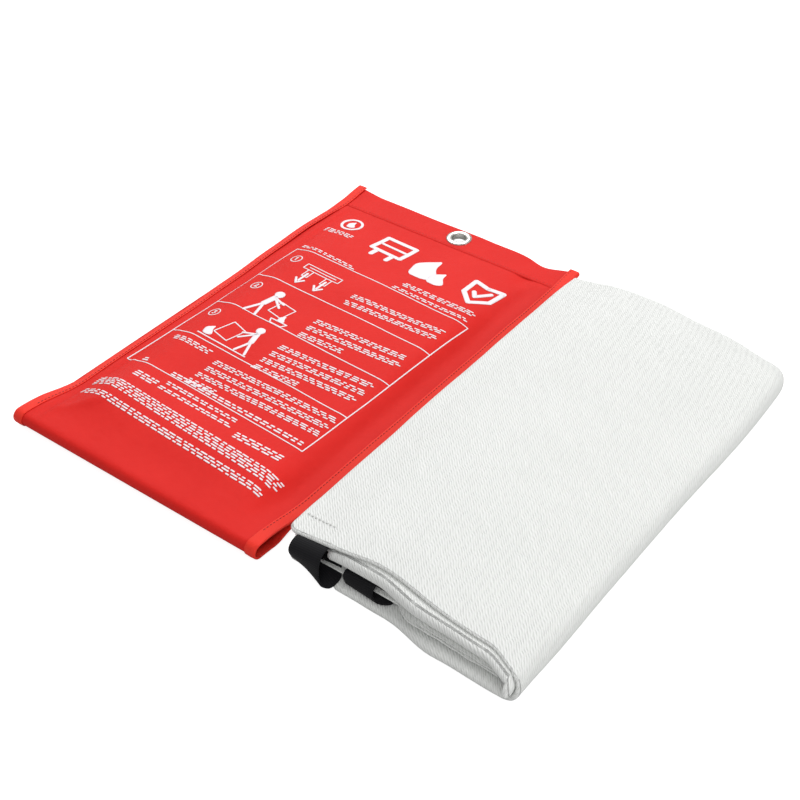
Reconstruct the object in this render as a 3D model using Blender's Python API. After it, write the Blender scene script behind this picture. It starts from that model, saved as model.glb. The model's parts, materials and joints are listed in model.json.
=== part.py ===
"""Fire blanket set: an empty cloth pouch with a hanging eyelet, and its folded glass-fibre blanket beside it.

+Y runs from the pouch's mouth to its hanging end, +X from the pouch to the blanket, +Z up.
The origin is under the middle of the whole set, on the surface that the set lies on.
Moving pieces hang from empties that stand on their joint axes.
"""

import math

import bmesh
import bpy
from mathutils import Vector

# Overall layout.
GAP = 0.0003
POUCH_WIDTH = 0.230
POUCH_LENGTH = 0.402
BLANKET_WIDTH = 0.187
BLANKET_LENGTH = 0.372
SPACE_BETWEEN = 0.010
BLANKET_FROM_MOUTH = 0.0044

# Pouch cloth, binding tape and sewing thread.
CLOTH = 0.0006
TAPE = 0.0005
TAPE_WIDTH = 0.009
THREAD = 0.0004
SEAM_INSET = 0.0015
SLOT_LEAD = 0.006

# The mouth: the front panel turns under in a half round, and the flap goes on from there.
BEND_RADIUS = 0.0048
MOUTH_OPENING = 0.035
FLAP_LENGTH = 0.075
FASTENER_THICKNESS = 0.0010
FASTENER_WIDTH = 0.020
FASTENER_START = 0.045
FASTENER_SIDE_MARGIN = 0.030

# How the front panel rises from its bound edges.
SHOULDER = 0.032
SHOULDER_STEPS = 6
PLATEAU_MIDDLE = 0.0100
MIDDLE_SHARE = 0.5
FALL_SHARE = 0.72
BACK_FALL_START = 0.060

# Header hem and hanging eyelet.
HEM_HEIGHT = 0.028
HEM_WALL = 0.0005
HEM_BASE = 0.0013
HEM_TUCK = 0.0035
TUCK_GAP = 0.0005
EYELET_FROM_END = 0.0135
EYELET_OFFSET = 0.004
EYELET_BORE = 0.0060
EYELET_WALL = 0.0004
EYELET_FLANGE = 0.0110
FLANGE_CROWN = 0.0012
WASHER_RADIUS = 0.0105
WASHER_THICKNESS = 0.0010
ROUND_STEPS = 40
SHARP_EDGE = math.radians(35)

# Folded blanket: two halves of zigzag leaves inside one outer sheet that wraps round the right side.
# Near the mouth the bottom sheet reaches STEP_BACK further than the rest of the stack.
BLANKET_THICKNESS = 0.0297
STEP_BACK = 0.0165
SHEET = 0.0008
LEAF = 0.0016
LEAF_SPACE = 0.0004
LEAVES = 6
LEAF_LEFT_INSET = 0.0015
LEAF_RIGHT_REACH = 0.002
HEM_THREAD_INSET = 0.012
HEM_THREAD_CLEAR = 0.004

# Pull tabs: webbing loops at the blanket's near end.
WEBBING = 0.0012
WEBBING_WIDTH = 0.025
SEWN_LENGTH = 0.018
TAB_ROOT_GAP = 0.0010
LEFT_TAB_REACH = 0.0115
LEFT_TAB_DROP = 0.021
LEFT_TAB_FROM_SIDE = 0.0105
RIGHT_TAB_REACH = 0.008
RIGHT_TAB_DROP = 0.010
RIGHT_TAB_FROM_SIDE = 0.048
BAR_TACK_DEPTH = 0.003
BAR_TACK_INSET = 0.015

# Places that follow from the sizes above.
SET_WIDTH = POUCH_WIDTH + SPACE_BETWEEN + BLANKET_WIDTH
POUCH_LEFT = -SET_WIDTH / 2
POUCH_RIGHT = POUCH_LEFT + POUCH_WIDTH
BLANKET_LEFT = POUCH_RIGHT + SPACE_BETWEEN
BLANKET_RIGHT = SET_WIDTH / 2
HANG_END = POUCH_LENGTH / 2
BLANKET_NEAR = -POUCH_LENGTH / 2 + BLANKET_FROM_MOUTH
STACK_NEAR = BLANKET_NEAR + STEP_BACK
BLANKET_FAR = BLANKET_NEAR + BLANKET_LENGTH
TAPE_RADIUS = BEND_RADIUS + CLOTH + GAP + TAPE
BEND_Y = HANG_END - POUCH_LENGTH + TAPE_RADIUS
FLAP_INNER = TAPE_RADIUS + GAP
BEND_Z = FLAP_INNER + CLOTH
MOUTH_Y = BEND_Y + MOUTH_OPENING
HEM_Y = HANG_END - HEM_HEIGHT
BACK_Z = CLOTH + GAP + 2 * (FASTENER_THICKNESS + GAP)
PANEL_LEFT = POUCH_LEFT + TAPE + GAP
PANEL_RIGHT = POUCH_RIGHT - TAPE - GAP
PANEL_PAIR = 2 * CLOTH + GAP
HEM_BACK_Z = HEM_BASE + HEM_WALL + GAP
HEM_TOP = HEM_BACK_Z + PANEL_PAIR + GAP + HEM_WALL
PANEL_END = HEM_Y + HEM_TUCK
HEM_SLOT_END = PANEL_END + TUCK_GAP
EYELET_X = (POUCH_LEFT + POUCH_RIGHT) / 2 + EYELET_OFFSET
EYELET_Y = HANG_END - EYELET_FROM_END
SPLIT_Z = BLANKET_THICKNESS / 2
LEAF_RIGHT = BLANKET_RIGHT - SPLIT_Z + LEAF_RIGHT_REACH


def ease(value):
    """0 below 0, 1 above 1, and a smooth rise between them."""
    value = min(1.0, max(0.0, value))
    return value * value * (3 - 2 * value)


def between(low, high, share):
    return low + (high - low) * share


def steps(low, high, count):
    return [between(low, high, k / count) for k in range(count + 1)]


# ---- materials ----

def finish(name, colour, roughness, metallic=0.0):
    """A Principled BSDF material with one colour."""
    material = bpy.data.materials.new(name)
    material.use_nodes = True
    surface = material.node_tree.nodes["Principled BSDF"]
    surface.inputs["Base Color"].default_value = (*colour, 1.0)
    surface.inputs["Roughness"].default_value = roughness
    surface.inputs["Metallic"].default_value = metallic
    return material


# ---- mesh builders ----

def add_piece(name, points, faces, look, axis=None):
    """One closed body. With an axis empty, the piece's origin stands on that empty."""
    origin = axis.matrix_world.translation if axis else Vector((0, 0, 0))
    mesh = bpy.data.meshes.new(name)
    mesh.from_pydata([Vector(p) - origin for p in points], [], faces)
    body = bmesh.new()
    body.from_mesh(mesh)
    bmesh.ops.recalc_face_normals(body, faces=body.faces)
    body.to_mesh(mesh)
    body.free()
    mesh.shade_smooth()
    mesh.set_sharp_from_angle(angle=SHARP_EDGE)
    mesh.materials.append(finish(name, *look))
    piece = bpy.data.objects.new(name, mesh)
    bpy.context.collection.objects.link(piece)
    if axis:
        piece.parent = axis
    return piece


def loft(name, sections, look, axis=None):
    """Closed loops of points joined one to the next, capped at both ends."""
    size = len(sections[0])
    points = [point for section in sections for point in section]
    faces = [tuple(range(size)), tuple(range(len(points) - size, len(points)))]
    for row in range(len(sections) - 1):
        for k in range(size):
            a = row * size + k
            b = row * size + (k + 1) % size
            faces.append((a, b, b + size, a + size))
    return add_piece(name, points, faces, look, axis)


def shell(name, lower, upper, look, axis=None):
    """A sheet between two grids of points, closed round its border."""
    rows, columns = len(lower), len(lower[0])
    points = [p for row in lower for p in row] + [p for row in upper for p in row]
    top = rows * columns

    def at(row, column):
        return row * columns + column

    faces = []
    for r in range(rows - 1):
        for c in range(columns - 1):
            quad = (at(r, c), at(r, c + 1), at(r + 1, c + 1), at(r + 1, c))
            faces.append(quad)
            faces.append(tuple(top + k for k in quad))
    border = [at(0, c) for c in range(columns)]
    border += [at(r, columns - 1) for r in range(1, rows)]
    border += [at(rows - 1, c) for c in range(columns - 2, -1, -1)]
    border += [at(r, 0) for r in range(rows - 2, 0, -1)]
    for k, a in enumerate(border):
        b = border[(k + 1) % len(border)]
        faces.append((a, b, top + b, top + a))
    return add_piece(name, points, faces, look, axis)


def along_x(name, outline, left, right, look, axis=None):
    """An outline of (y, z) points carried from left to right."""
    return loft(name, [[(x, y, z) for y, z in outline] for x in (left, right)], look, axis)


def along_y(name, outline, near, far, look, axis=None):
    """An outline of (x, z) points carried from near to far."""
    return loft(name, [[(x, y, z) for x, z in outline] for y in (near, far)], look, axis)


def along_z(name, outline, low, high, look, axis=None):
    """An outline of (x, y) points carried upwards."""
    return loft(name, [[(x, y, z) for x, y in outline] for z in (low, high)], look, axis)


def block(low_a, high_a, low_b, high_b):
    """The outline of a rectangle."""
    return [(low_a, low_b), (high_a, low_b), (high_a, high_b), (low_a, high_b)]


def arc(centre, radius, start, end, count):
    """Points on a round stretch, angles in degrees."""
    angles = [math.radians(a) for a in steps(start, end, count)]
    return [(centre[0] + radius * math.cos(a), centre[1] + radius * math.sin(a)) for a in angles]


def thickened(path, thickness):
    """The outline of a strip that follows a path of (a, b) points, with half its thickness on each side."""
    left, right = [], []
    for k, point in enumerate(path):
        before = Vector(path[max(0, k - 1)])
        after = Vector(path[min(len(path) - 1, k + 1)])
        along = (after - before).normalized()
        side = Vector((-along.y, along.x)) * thickness / 2
        left.append(tuple(Vector(point) + side))
        right.append(tuple(Vector(point) - side))
    return left + right[::-1]


def turned(name, outline, centre, look):
    """An outline of (radius, z) points turned about a vertical axis at centre."""
    rings = []
    for k in range(ROUND_STEPS):
        angle = 2 * math.pi * k / ROUND_STEPS
        rings.append([
            (centre[0] + r * math.cos(angle), centre[1] + r * math.sin(angle), z) for r, z in outline
        ])
    size = len(outline)
    points = [point for ring in rings for point in ring]
    faces = []
    for row in range(ROUND_STEPS):
        following = (row + 1) % ROUND_STEPS
        for k in range(size):
            after = (k + 1) % size
            faces.append((
                row * size + k, row * size + after, following * size + after, following * size + k,
            ))
    return add_piece(name, points, faces, look)


def joint_axis(name, place, parent=None):
    """An empty on a joint's axis, which its moving pieces hang from."""
    empty = bpy.data.objects.new(name, None)
    bpy.context.collection.objects.link(empty)
    empty.parent = parent
    empty.location = Vector(place) - (parent.matrix_world.translation if parent else Vector())
    bpy.context.view_layer.update()
    return empty


# ---- pouch surfaces ----

def back_low(y):
    """Underside of the back panel: flat above the folded flap, then down towards the header."""
    fall = ease((y - MOUTH_Y - BACK_FALL_START) / (HEM_Y - MOUTH_Y - BACK_FALL_START))
    return between(BACK_Z, HEM_BACK_Z, fall)


def edge_low(y):
    """Underside of the front panel along its bound edges."""
    rest_on_back = back_low(y) + CLOTH + GAP
    return between(BEND_Z + BEND_RADIUS, rest_on_back, ease((y - BEND_Y) / MOUTH_OPENING))


def plateau_low(y):
    """Underside of the front panel along its middle."""
    share = (y - BEND_Y) / (HEM_Y - BEND_Y)
    crest = between(BEND_Z + BEND_RADIUS, PLATEAU_MIDDLE, ease(share / MIDDLE_SHARE))
    return between(crest, edge_low(y), ease((share - FALL_SHARE) / (1 - FALL_SHARE)))


def front_low(x, y):
    from_tape = min(x - PANEL_LEFT, PANEL_RIGHT - x) - TAPE_WIDTH
    return between(edge_low(y), max(edge_low(y), plateau_low(y)), ease(from_tape / SHOULDER))


def front_columns():
    """The cloth is flat under the tape, rises over the shoulders and is level between them."""
    inset = TAPE_WIDTH + SHOULDER
    left = steps(PANEL_LEFT + TAPE_WIDTH, PANEL_LEFT + inset, SHOULDER_STEPS)
    right = steps(PANEL_RIGHT - inset, PANEL_RIGHT - TAPE_WIDTH, SHOULDER_STEPS)
    return [PANEL_LEFT] + left + right + [PANEL_RIGHT]


def bend_point(x, radius, angle):
    """A point on the half round at the mouth. 90 degrees is its top, 270 degrees its underside."""
    a = math.radians(angle)
    return (x, BEND_Y + radius * math.cos(a), BEND_Z + radius * math.sin(a))


BEND_ANGLES = steps(90, 270, 10)[1:]


def stations(near, far):
    """Places along Y that every long pouch piece shares, so that their facets follow each other."""
    at_mouth = steps(BEND_Y, MOUTH_Y - SLOT_LEAD, 7) + steps(MOUTH_Y - SLOT_LEAD, MOUTH_Y, 2)[1:]
    along = steps(MOUTH_Y, HEM_Y - SLOT_LEAD, 15)[1:]
    at_hem = [HEM_Y - SLOT_LEAD / 2, HEM_Y, PANEL_END, HANG_END]
    return [y for y in at_mouth + along + at_hem if near <= y <= far][::-1]


def slot_below(y):
    """How far the binding's slot reaches below the front panel's underside."""
    back_share = ease((y - MOUTH_Y) / SLOT_LEAD + 1)
    hem_share = ease((y - HEM_Y) / SLOT_LEAD + 1)
    with_back = between(GAP, CLOTH + 2 * GAP, back_share)
    return between(with_back, edge_low(HEM_Y) - HEM_BASE + GAP, hem_share)


def slot_above(y):
    hem_share = ease((y - HEM_Y) / SLOT_LEAD + 1)
    return between(CLOTH + GAP, HEM_TOP - edge_low(HEM_Y) + GAP, hem_share)


def tape_section(edge_x, inward, below, above, place):
    """A C round the cloth's edge, open towards the pouch's middle. inward is +1 or -1."""
    outer, wall, mouth = (edge_x + inward * d for d in (0, TAPE, TAPE_WIDTH))
    loop = [
        (outer, -below - TAPE), (mouth, -below - TAPE), (mouth, -below), (wall, -below),
        (wall, above), (mouth, above), (mouth, above + TAPE), (outer, above + TAPE),
    ]
    return [place(x, n) for x, n in loop]


# ---- pouch ----

RED_CLOTH = ((0.78, 0.03, 0.025), 0.75)
RED_TAPE = ((0.95, 0.05, 0.03), 0.65)
RED_THREAD = ((0.80, 0.06, 0.04), 0.6)
BLACK_FASTENER = ((0.03, 0.03, 0.03), 0.9)
NICKEL = ((0.72, 0.71, 0.68), 0.25, 1.0)
GLASS_CLOTH = ((0.88, 0.89, 0.87), 0.7)
GLASS_THREAD = ((0.82, 0.83, 0.80), 0.7)
BLACK_WEBBING = ((0.02, 0.02, 0.022), 0.8)


def build_front_panel():
    lower, upper = [], []
    for y in stations(BEND_Y, PANEL_END):
        lower.append([(x, y, front_low(x, y)) for x in front_columns()])
        upper.append([(x, y, front_low(x, y) + CLOTH) for x in front_columns()])
    for angle in BEND_ANGLES:
        lower.append([bend_point(x, BEND_RADIUS, angle) for x in front_columns()])
        upper.append([bend_point(x, BEND_RADIUS + CLOTH, angle) for x in front_columns()])
    shell("pouch_front_panel", lower, upper, RED_CLOTH)


def build_back_panel():
    rows = stations(MOUTH_Y, PANEL_END)
    lower = [[(x, y, back_low(y)) for x in (PANEL_LEFT, PANEL_RIGHT)] for y in rows]
    upper = [[(x, y, back_low(y) + CLOTH) for x in (PANEL_LEFT, PANEL_RIGHT)] for y in rows]
    shell("pouch_back_panel", lower, upper, RED_CLOTH)


def build_edge_binding(side, edge_x, inward):
    """Tape round one long edge, from the hanging end to the underside of the mouth's half round."""
    sections = []
    for y in stations(BEND_Y, HANG_END):
        def place(x, n, y=y):
            return (x, y, edge_low(y) + n)
        sections.append(tape_section(edge_x, inward, slot_below(y), slot_above(y), place))
    for angle in BEND_ANGLES:
        def place(x, n, angle=angle):
            return bend_point(x, BEND_RADIUS + n, angle)
        sections.append(tape_section(edge_x, inward, GAP, CLOTH + GAP, place))
    loft(f"{side}_edge_binding", sections, RED_TAPE)


def build_binding_thread(side, edge_x, inward):
    """The seam that holds the binding, on the tape's upper face near its inner edge."""
    near = edge_x + inward * (TAPE_WIDTH - SEAM_INSET)
    low_x, high_x = sorted((near, near - inward * THREAD))
    sections = []
    for y in stations(BEND_Y, HANG_END):
        base = edge_low(y) + slot_above(y) + TAPE + GAP
        sections.append([(x, y, z) for x, z in block(low_x, high_x, base, base + THREAD)])
    loft(f"{side}_binding_thread", sections, RED_THREAD)


def build_header_hem():
    """Folded hem at the hanging end: a slot that holds the two panels, then solid cloth with the eyelet's hole."""
    nose = arc((HANG_END - (HEM_TOP - HEM_BASE) / 2, (HEM_TOP + HEM_BASE) / 2),
               (HEM_TOP - HEM_BASE) / 2, -90, 90, 8)
    slot = [
        (HEM_Y, HEM_TOP), (HEM_Y, HEM_TOP - HEM_WALL), (HEM_SLOT_END, HEM_TOP - HEM_WALL),
        (HEM_SLOT_END, HEM_BASE + HEM_WALL), (HEM_Y, HEM_BASE + HEM_WALL), (HEM_Y, HEM_BASE),
    ]
    hem = along_x("header_hem", nose + slot, PANEL_LEFT, PANEL_RIGHT, RED_CLOTH)
    bpy.ops.mesh.primitive_cylinder_add(
        vertices=ROUND_STEPS, radius=EYELET_BORE + EYELET_WALL + GAP, depth=4 * HEM_TOP,
        location=(EYELET_X, EYELET_Y, HEM_TOP / 2),
    )
    cutter = bpy.context.object
    cutter.name = "eyelet_hole_cutter"
    cutter.display_type = "WIRE"
    cutter.hide_render = True
    hole = hem.modifiers.new("Eyelet hole", "BOOLEAN")
    hole.operation = "DIFFERENCE"
    hole.object = cutter


def build_header_seam_thread():
    """The seam across the pouch that closes the header hem."""
    y = HEM_Y + SEAM_INSET
    left = POUCH_LEFT + TAPE_WIDTH + GAP
    right = POUCH_RIGHT - TAPE_WIDTH - GAP
    outline = block(y, y + THREAD, HEM_TOP + GAP, HEM_TOP + GAP + THREAD)
    along_x("header_seam_thread", outline, left, right, RED_THREAD)


def build_eyelet():
    """Turned metal eyelet with a rounded flange, and the washer it is set against."""
    flange_base = HEM_TOP + GAP
    crown = flange_base + FLANGE_CROWN
    barrel = EYELET_BORE + EYELET_WALL
    rounded = arc((between(EYELET_BORE, EYELET_FLANGE, 0.5), flange_base), 1.0, 180, 0, 10)
    middle = between(EYELET_BORE, EYELET_FLANGE, 0.5)
    half = (EYELET_FLANGE - EYELET_BORE) / 2
    flange = [
        (middle + (r - middle) * half, flange_base + (z - flange_base) * (crown - flange_base))
        for r, z in rounded
    ]
    outline = flange + [(barrel, flange_base), (barrel, GAP), (EYELET_BORE, GAP)]
    turned("grommet_eyelet", outline, (EYELET_X, EYELET_Y), NICKEL)
    ring = block(barrel + GAP, WASHER_RADIUS, 0, WASHER_THICKNESS)
    turned("grommet_washer", ring, (EYELET_X, EYELET_Y), NICKEL)


def build_loop_strip():
    """Loop half of the touch fastener, under the back panel near the mouth."""
    low = BACK_Z - GAP - FASTENER_THICKNESS
    outline = block(BEND_Y + FASTENER_START, BEND_Y + FASTENER_START + FASTENER_WIDTH,
                    low, low + FASTENER_THICKNESS)
    along_x("loop_strip", outline, POUCH_LEFT + FASTENER_SIDE_MARGIN,
            POUCH_RIGHT - FASTENER_SIDE_MARGIN, BLACK_FASTENER)


def build_flap():
    """The closing flap lies folded under the pouch and turns about the middle of the mouth's half round."""
    axis = joint_axis("flap_axis", (0, BEND_Y, BEND_Z))
    leaf = block(BEND_Y, BEND_Y + FLAP_LENGTH, 0, CLOTH)
    along_x("closing_flap", leaf, PANEL_LEFT, PANEL_RIGHT, RED_CLOTH, axis)
    hook_low = CLOTH + GAP
    hook = block(BEND_Y + FASTENER_START, BEND_Y + FASTENER_START + FASTENER_WIDTH,
                 hook_low, hook_low + FASTENER_THICKNESS)
    along_x("hook_strip", hook, POUCH_LEFT + FASTENER_SIDE_MARGIN,
            POUCH_RIGHT - FASTENER_SIDE_MARGIN, BLACK_FASTENER, axis)
    seam_y = BEND_Y + FLAP_LENGTH - SEAM_INSET - THREAD
    seam = block(seam_y, seam_y + THREAD, hook_low, hook_low + THREAD)
    along_x("flap_hem_thread", seam, PANEL_LEFT + SEAM_INSET, PANEL_RIGHT - SEAM_INSET,
            RED_THREAD, axis)


# ---- blanket ----

def zigzag(base):
    """The path of the folded leaves, which turn back alternately at the far end and the near end."""
    pitch = LEAF + LEAF_SPACE
    turn = pitch / 2
    near = STACK_NEAR + turn + LEAF / 2
    far = BLANKET_FAR - turn - LEAF / 2
    path = [(near, base + LEAF / 2)]
    for k in range(LEAVES - 1):
        middle = base + LEAF / 2 + k * pitch + turn
        if k % 2 == 0:
            path += arc((far, middle), turn, -90, 90, 6)
        else:
            path += arc((near, middle), turn, -90, -270, 6)
    last = base + LEAF / 2 + (LEAVES - 1) * pitch
    path.append((near if LEAVES % 2 == 0 else far, last))
    return path


def build_blanket_half(half, upward, axis):
    """One half of the folded blanket: its outer sheet, which wraps half of the right side, and its leaves."""
    side = 1 if upward else -1
    centre_x = BLANKET_RIGHT - SPLIT_Z
    rounding = arc((centre_x, SPLIT_Z), SPLIT_Z - SHEET / 2, 90 * side, 0.7 * side, 10)
    path = [(BLANKET_LEFT, rounding[0][1])] + rounding
    outline = thickened(path, SHEET)
    near = STACK_NEAR if upward else BLANKET_NEAR
    along_y(f"blanket_outer_sheet_{half}", outline, near, BLANKET_FAR, GLASS_CLOTH, axis)
    base = SPLIT_Z + GAP if upward else SHEET + GAP
    along_x(f"blanket_leaves_{half}", thickened(zigzag(base), LEAF),
            BLANKET_LEFT + LEAF_LEFT_INSET, LEAF_RIGHT, GLASS_CLOTH, axis)


LEAVES_HEIGHT = LEAVES * LEAF + (LEAVES - 1) * LEAF_SPACE


def build_hem_thread(axis):
    """Seam along the hemmed edge that lies on the lower leaves."""
    low = SHEET + GAP + LEAVES_HEIGHT + GAP
    y = STACK_NEAR + HEM_THREAD_INSET
    left = BLANKET_LEFT + RIGHT_TAB_FROM_SIDE + WEBBING_WIDTH + HEM_THREAD_CLEAR
    along_x("blanket_hem_thread", block(y, y + THREAD, low, low + THREAD), left, LEAF_RIGHT,
            GLASS_THREAD, axis)


def build_pull_tab(side, left, root_z, reach, drop, sewn_axis, tab_axis):
    """A webbing strap: a flat end sewn between the layers, and a loop that hangs out of the near end."""
    right = left + WEBBING_WIDTH
    root_y = STACK_NEAR - TAB_ROOT_GAP
    sewn_near = STACK_NEAR - GAP
    sewn = block(sewn_near, sewn_near + SEWN_LENGTH, root_z - WEBBING / 2, root_z + WEBBING / 2)
    along_x(f"pull_tab_{side}_sewn_end", sewn, left, right, BLACK_WEBBING, sewn_axis)
    half_drop = drop / 2
    curve = [
        (root_y + (reach - WEBBING / 2) * a, root_z - half_drop + half_drop * b)
        for a, b in arc((0, 0), 1.0, 90, 270, 18)
    ]
    along_x(f"pull_tab_{side}_loop", thickened(curve, WEBBING), left, right, BLACK_WEBBING, tab_axis)


def build_bar_tack(side, left, low, axis):
    """The tab's sewing: a U of thread across the webbing."""
    inner = left + SEAM_INSET
    outer = left + WEBBING_WIDTH - SEAM_INSET
    near = STACK_NEAR + BAR_TACK_INSET
    far = near + BAR_TACK_DEPTH
    path = [
        (inner, near), (outer, near), (outer, far), (inner, far), (inner, far - THREAD),
        (outer - THREAD, far - THREAD), (outer - THREAD, near + THREAD), (inner, near + THREAD),
    ]
    along_z(f"pull_tab_{side}_stitching", path, low, low + THREAD, GLASS_THREAD, axis)


def build_blanket():
    """The lower half slides out with the blanket, and the upper half opens on it like a book's cover."""
    lower = joint_axis("draw_axis", (BLANKET_RIGHT, BLANKET_NEAR, SPLIT_Z))
    upper = joint_axis("fold_axis", (BLANKET_RIGHT, BLANKET_NEAR, SPLIT_Z), lower)
    build_blanket_half("lower", False, lower)
    build_blanket_half("upper", True, upper)
    build_hem_thread(lower)
    root_y = STACK_NEAR - TAB_ROOT_GAP
    left_z = SPLIT_Z + GAP + LEAVES_HEIGHT + GAP + WEBBING / 2
    left_axis = joint_axis("left_tab_axis", (BLANKET_LEFT, root_y, left_z), upper)
    build_pull_tab("left", BLANKET_LEFT + LEFT_TAB_FROM_SIDE, left_z, LEFT_TAB_REACH,
                   LEFT_TAB_DROP, upper, left_axis)
    build_bar_tack("left", BLANKET_LEFT + LEFT_TAB_FROM_SIDE, BLANKET_THICKNESS + GAP, upper)
    right_z = SHEET + GAP + LEAVES_HEIGHT + GAP + WEBBING / 2
    right_axis = joint_axis("right_tab_axis", (BLANKET_LEFT, root_y, right_z), lower)
    build_pull_tab("right", BLANKET_LEFT + RIGHT_TAB_FROM_SIDE, right_z, RIGHT_TAB_REACH,
                   RIGHT_TAB_DROP, lower, right_axis)


def main():
    for thing in list(bpy.data.objects):
        bpy.data.objects.remove(thing)
    build_front_panel()
    build_back_panel()
    build_header_hem()
    build_header_seam_thread()
    build_eyelet()
    for side, edge_x, inward in (("left", POUCH_LEFT, 1), ("right", POUCH_RIGHT, -1)):
        build_edge_binding(side, edge_x, inward)
        build_binding_thread(side, edge_x, inward)
    build_loop_strip()
    build_flap()
    build_blanket()


main()
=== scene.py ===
"""Looks for the fire blanket set: a red woven pouch with a printed front, and a folded white twill blanket
with black webbing pull tabs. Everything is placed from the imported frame."""

import json
import math
import random

import bmesh
import bpy
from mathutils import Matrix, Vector, noise
from mathutils.bvhtree import BVHTree


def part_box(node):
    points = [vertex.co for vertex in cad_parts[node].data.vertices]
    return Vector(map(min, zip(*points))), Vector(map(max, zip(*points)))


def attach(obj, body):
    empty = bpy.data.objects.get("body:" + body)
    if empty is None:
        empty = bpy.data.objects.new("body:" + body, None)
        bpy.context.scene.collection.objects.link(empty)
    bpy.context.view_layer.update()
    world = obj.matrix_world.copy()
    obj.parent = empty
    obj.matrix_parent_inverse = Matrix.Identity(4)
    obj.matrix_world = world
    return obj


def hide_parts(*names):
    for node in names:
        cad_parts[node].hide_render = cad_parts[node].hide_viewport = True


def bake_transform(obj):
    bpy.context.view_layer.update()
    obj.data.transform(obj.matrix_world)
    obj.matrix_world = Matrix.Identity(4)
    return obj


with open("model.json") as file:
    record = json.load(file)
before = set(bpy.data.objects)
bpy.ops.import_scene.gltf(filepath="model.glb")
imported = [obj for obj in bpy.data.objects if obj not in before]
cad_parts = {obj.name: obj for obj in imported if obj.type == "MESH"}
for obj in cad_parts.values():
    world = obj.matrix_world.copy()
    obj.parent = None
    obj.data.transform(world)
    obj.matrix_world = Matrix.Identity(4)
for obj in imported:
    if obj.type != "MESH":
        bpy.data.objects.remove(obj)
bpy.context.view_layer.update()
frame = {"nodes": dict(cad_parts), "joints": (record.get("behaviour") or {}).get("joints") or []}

MM = 0.001

# ---- places, all from the frame ----

panel_low, panel_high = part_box("pouch_front_panel")
hem_low, hem_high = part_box("header_hem")
tape_low, tape_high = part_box("left_edge_binding")
flap_low, flap_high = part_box("closing_flap")
eyelet_low, eyelet_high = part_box("grommet_eyelet")
back_low, back_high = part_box("pouch_back_panel")
wrap_low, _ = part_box("blanket_outer_sheet_lower")
upper_low, wrap_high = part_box("blanket_outer_sheet_upper")
left_tab_low, left_tab_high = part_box("pull_tab_left_loop")
right_tab_low, right_tab_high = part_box("pull_tab_right_loop")
joints = {joint["name"]: joint for joint in frame["joints"]}
_, BEND_Y, BEND_Z = joints["flap_hinge"]["pos_m"]

POUCH_LEFT = tape_low.x
POUCH_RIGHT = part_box("right_edge_binding")[1].x
POUCH_MIDDLE = (POUCH_LEFT + POUCH_RIGHT) / 2
TAPE_WIDTH = tape_high.x - tape_low.x
HANG_END = hem_high.y
HEM_Y = hem_low.y
MOUTH_Y = back_low.y
BEND_TOP = panel_high.z
BEND_OUTER = BEND_TOP - BEND_Z
EYELET = (eyelet_low + eyelet_high) / 2
BLANKET_LEFT = wrap_low.x
BLANKET_RIGHT = wrap_high.x
BLANKET_NEAR = wrap_low.y
STACK_NEAR = upper_low.y
BLANKET_FAR = wrap_high.y
BLANKET_TOP = wrap_high.z


def ease(value):
    """0 below 0, 1 above 1, and a smooth rise between them."""
    value = min(1.0, max(0.0, value))
    return value * value * (3 - 2 * value)


def mix(low, high, share):
    """low where share is 0, high where it is 1."""
    return low + (high - low) * share


def hump(value, centre, width):
    """A smooth bump of height 1 at centre."""
    return math.exp(-((value - centre) / width) ** 2)


def ripple(x, y, size, seed):
    """Smooth noise from about -1 to 1 whose waves are about size metres long."""
    return noise.noise(Vector((x / size, y / size, seed)))


def spaced(low, high, count):
    """Evenly spaced values, with both ends."""
    return [mix(low, high, k / count) for k in range(count + 1)]


def turns(low, high, count):
    """Evenly spaced angles, given in degrees."""
    return [math.radians(a) for a in spaced(low, high, count)]


# ---- materials ----

class Nodes:
    """Small helper that adds nodes to one material and links them."""

    SOCKETS = {"colour": "Base Color", "roughness": "Roughness", "metallic": "Metallic",
               "normal": "Normal", "sheen": "Sheen Weight", "sheen_roughness": "Sheen Roughness",
               "specular": "Specular IOR Level"}

    def __init__(self, name):
        self.material = bpy.data.materials.new(name)
        self.material.use_nodes = True
        self.tree = self.material.node_tree
        self.surface = self.tree.nodes["Principled BSDF"]

    def connect(self, socket, value):
        """Links another node's output to the socket, or sets its own value."""
        if hasattr(value, "is_output"):
            self.tree.links.new(value, socket)
        else:
            socket.default_value = value

    def add(self, kind, inputs=None, **settings):
        node = self.tree.nodes.new(kind)
        for key, value in settings.items():
            setattr(node, key, value)
        for key, value in (inputs or {}).items():
            self.connect(node.inputs[key], value)
        return node

    def math(self, operation, *values):
        return self.add("ShaderNodeMath", dict(enumerate(values)), operation=operation).outputs[0]

    def blend(self, share, first, second):
        """Mixes two colours."""
        return self.add("ShaderNodeMix", {0: share, 6: first, 7: second}, data_type="RGBA").outputs[2]

    def set(self, **values):
        for key, value in values.items():
            self.connect(self.surface.inputs[self.SOCKETS[key]], value)
        return self.material


def colour(red, green, blue):
    return (red, green, blue, 1.0)


def slanted(nodes, angle):
    """The cloth's own two coordinates in metres, turned by angle."""
    where = nodes.add("ShaderNodeTexCoord").outputs["UV"]
    turned = nodes.add("ShaderNodeMapping", {"Vector": where, "Rotation": (0, 0, angle)}).outputs[0]
    return nodes.add("ShaderNodeSeparateXYZ", {0: turned}).outputs[:2]


def weave(nodes, pitch):
    """Threads that cross over and under: a height from 0 to 1 that repeats every pitch metres."""
    across, along = [nodes.math("SINE", nodes.math("MULTIPLY", place, 2 * math.pi / pitch))
                     for place in slanted(nodes, 0.0)]
    return nodes.math("MULTIPLY_ADD", nodes.math("MULTIPLY", across, along), 0.5, 0.5)


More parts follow.
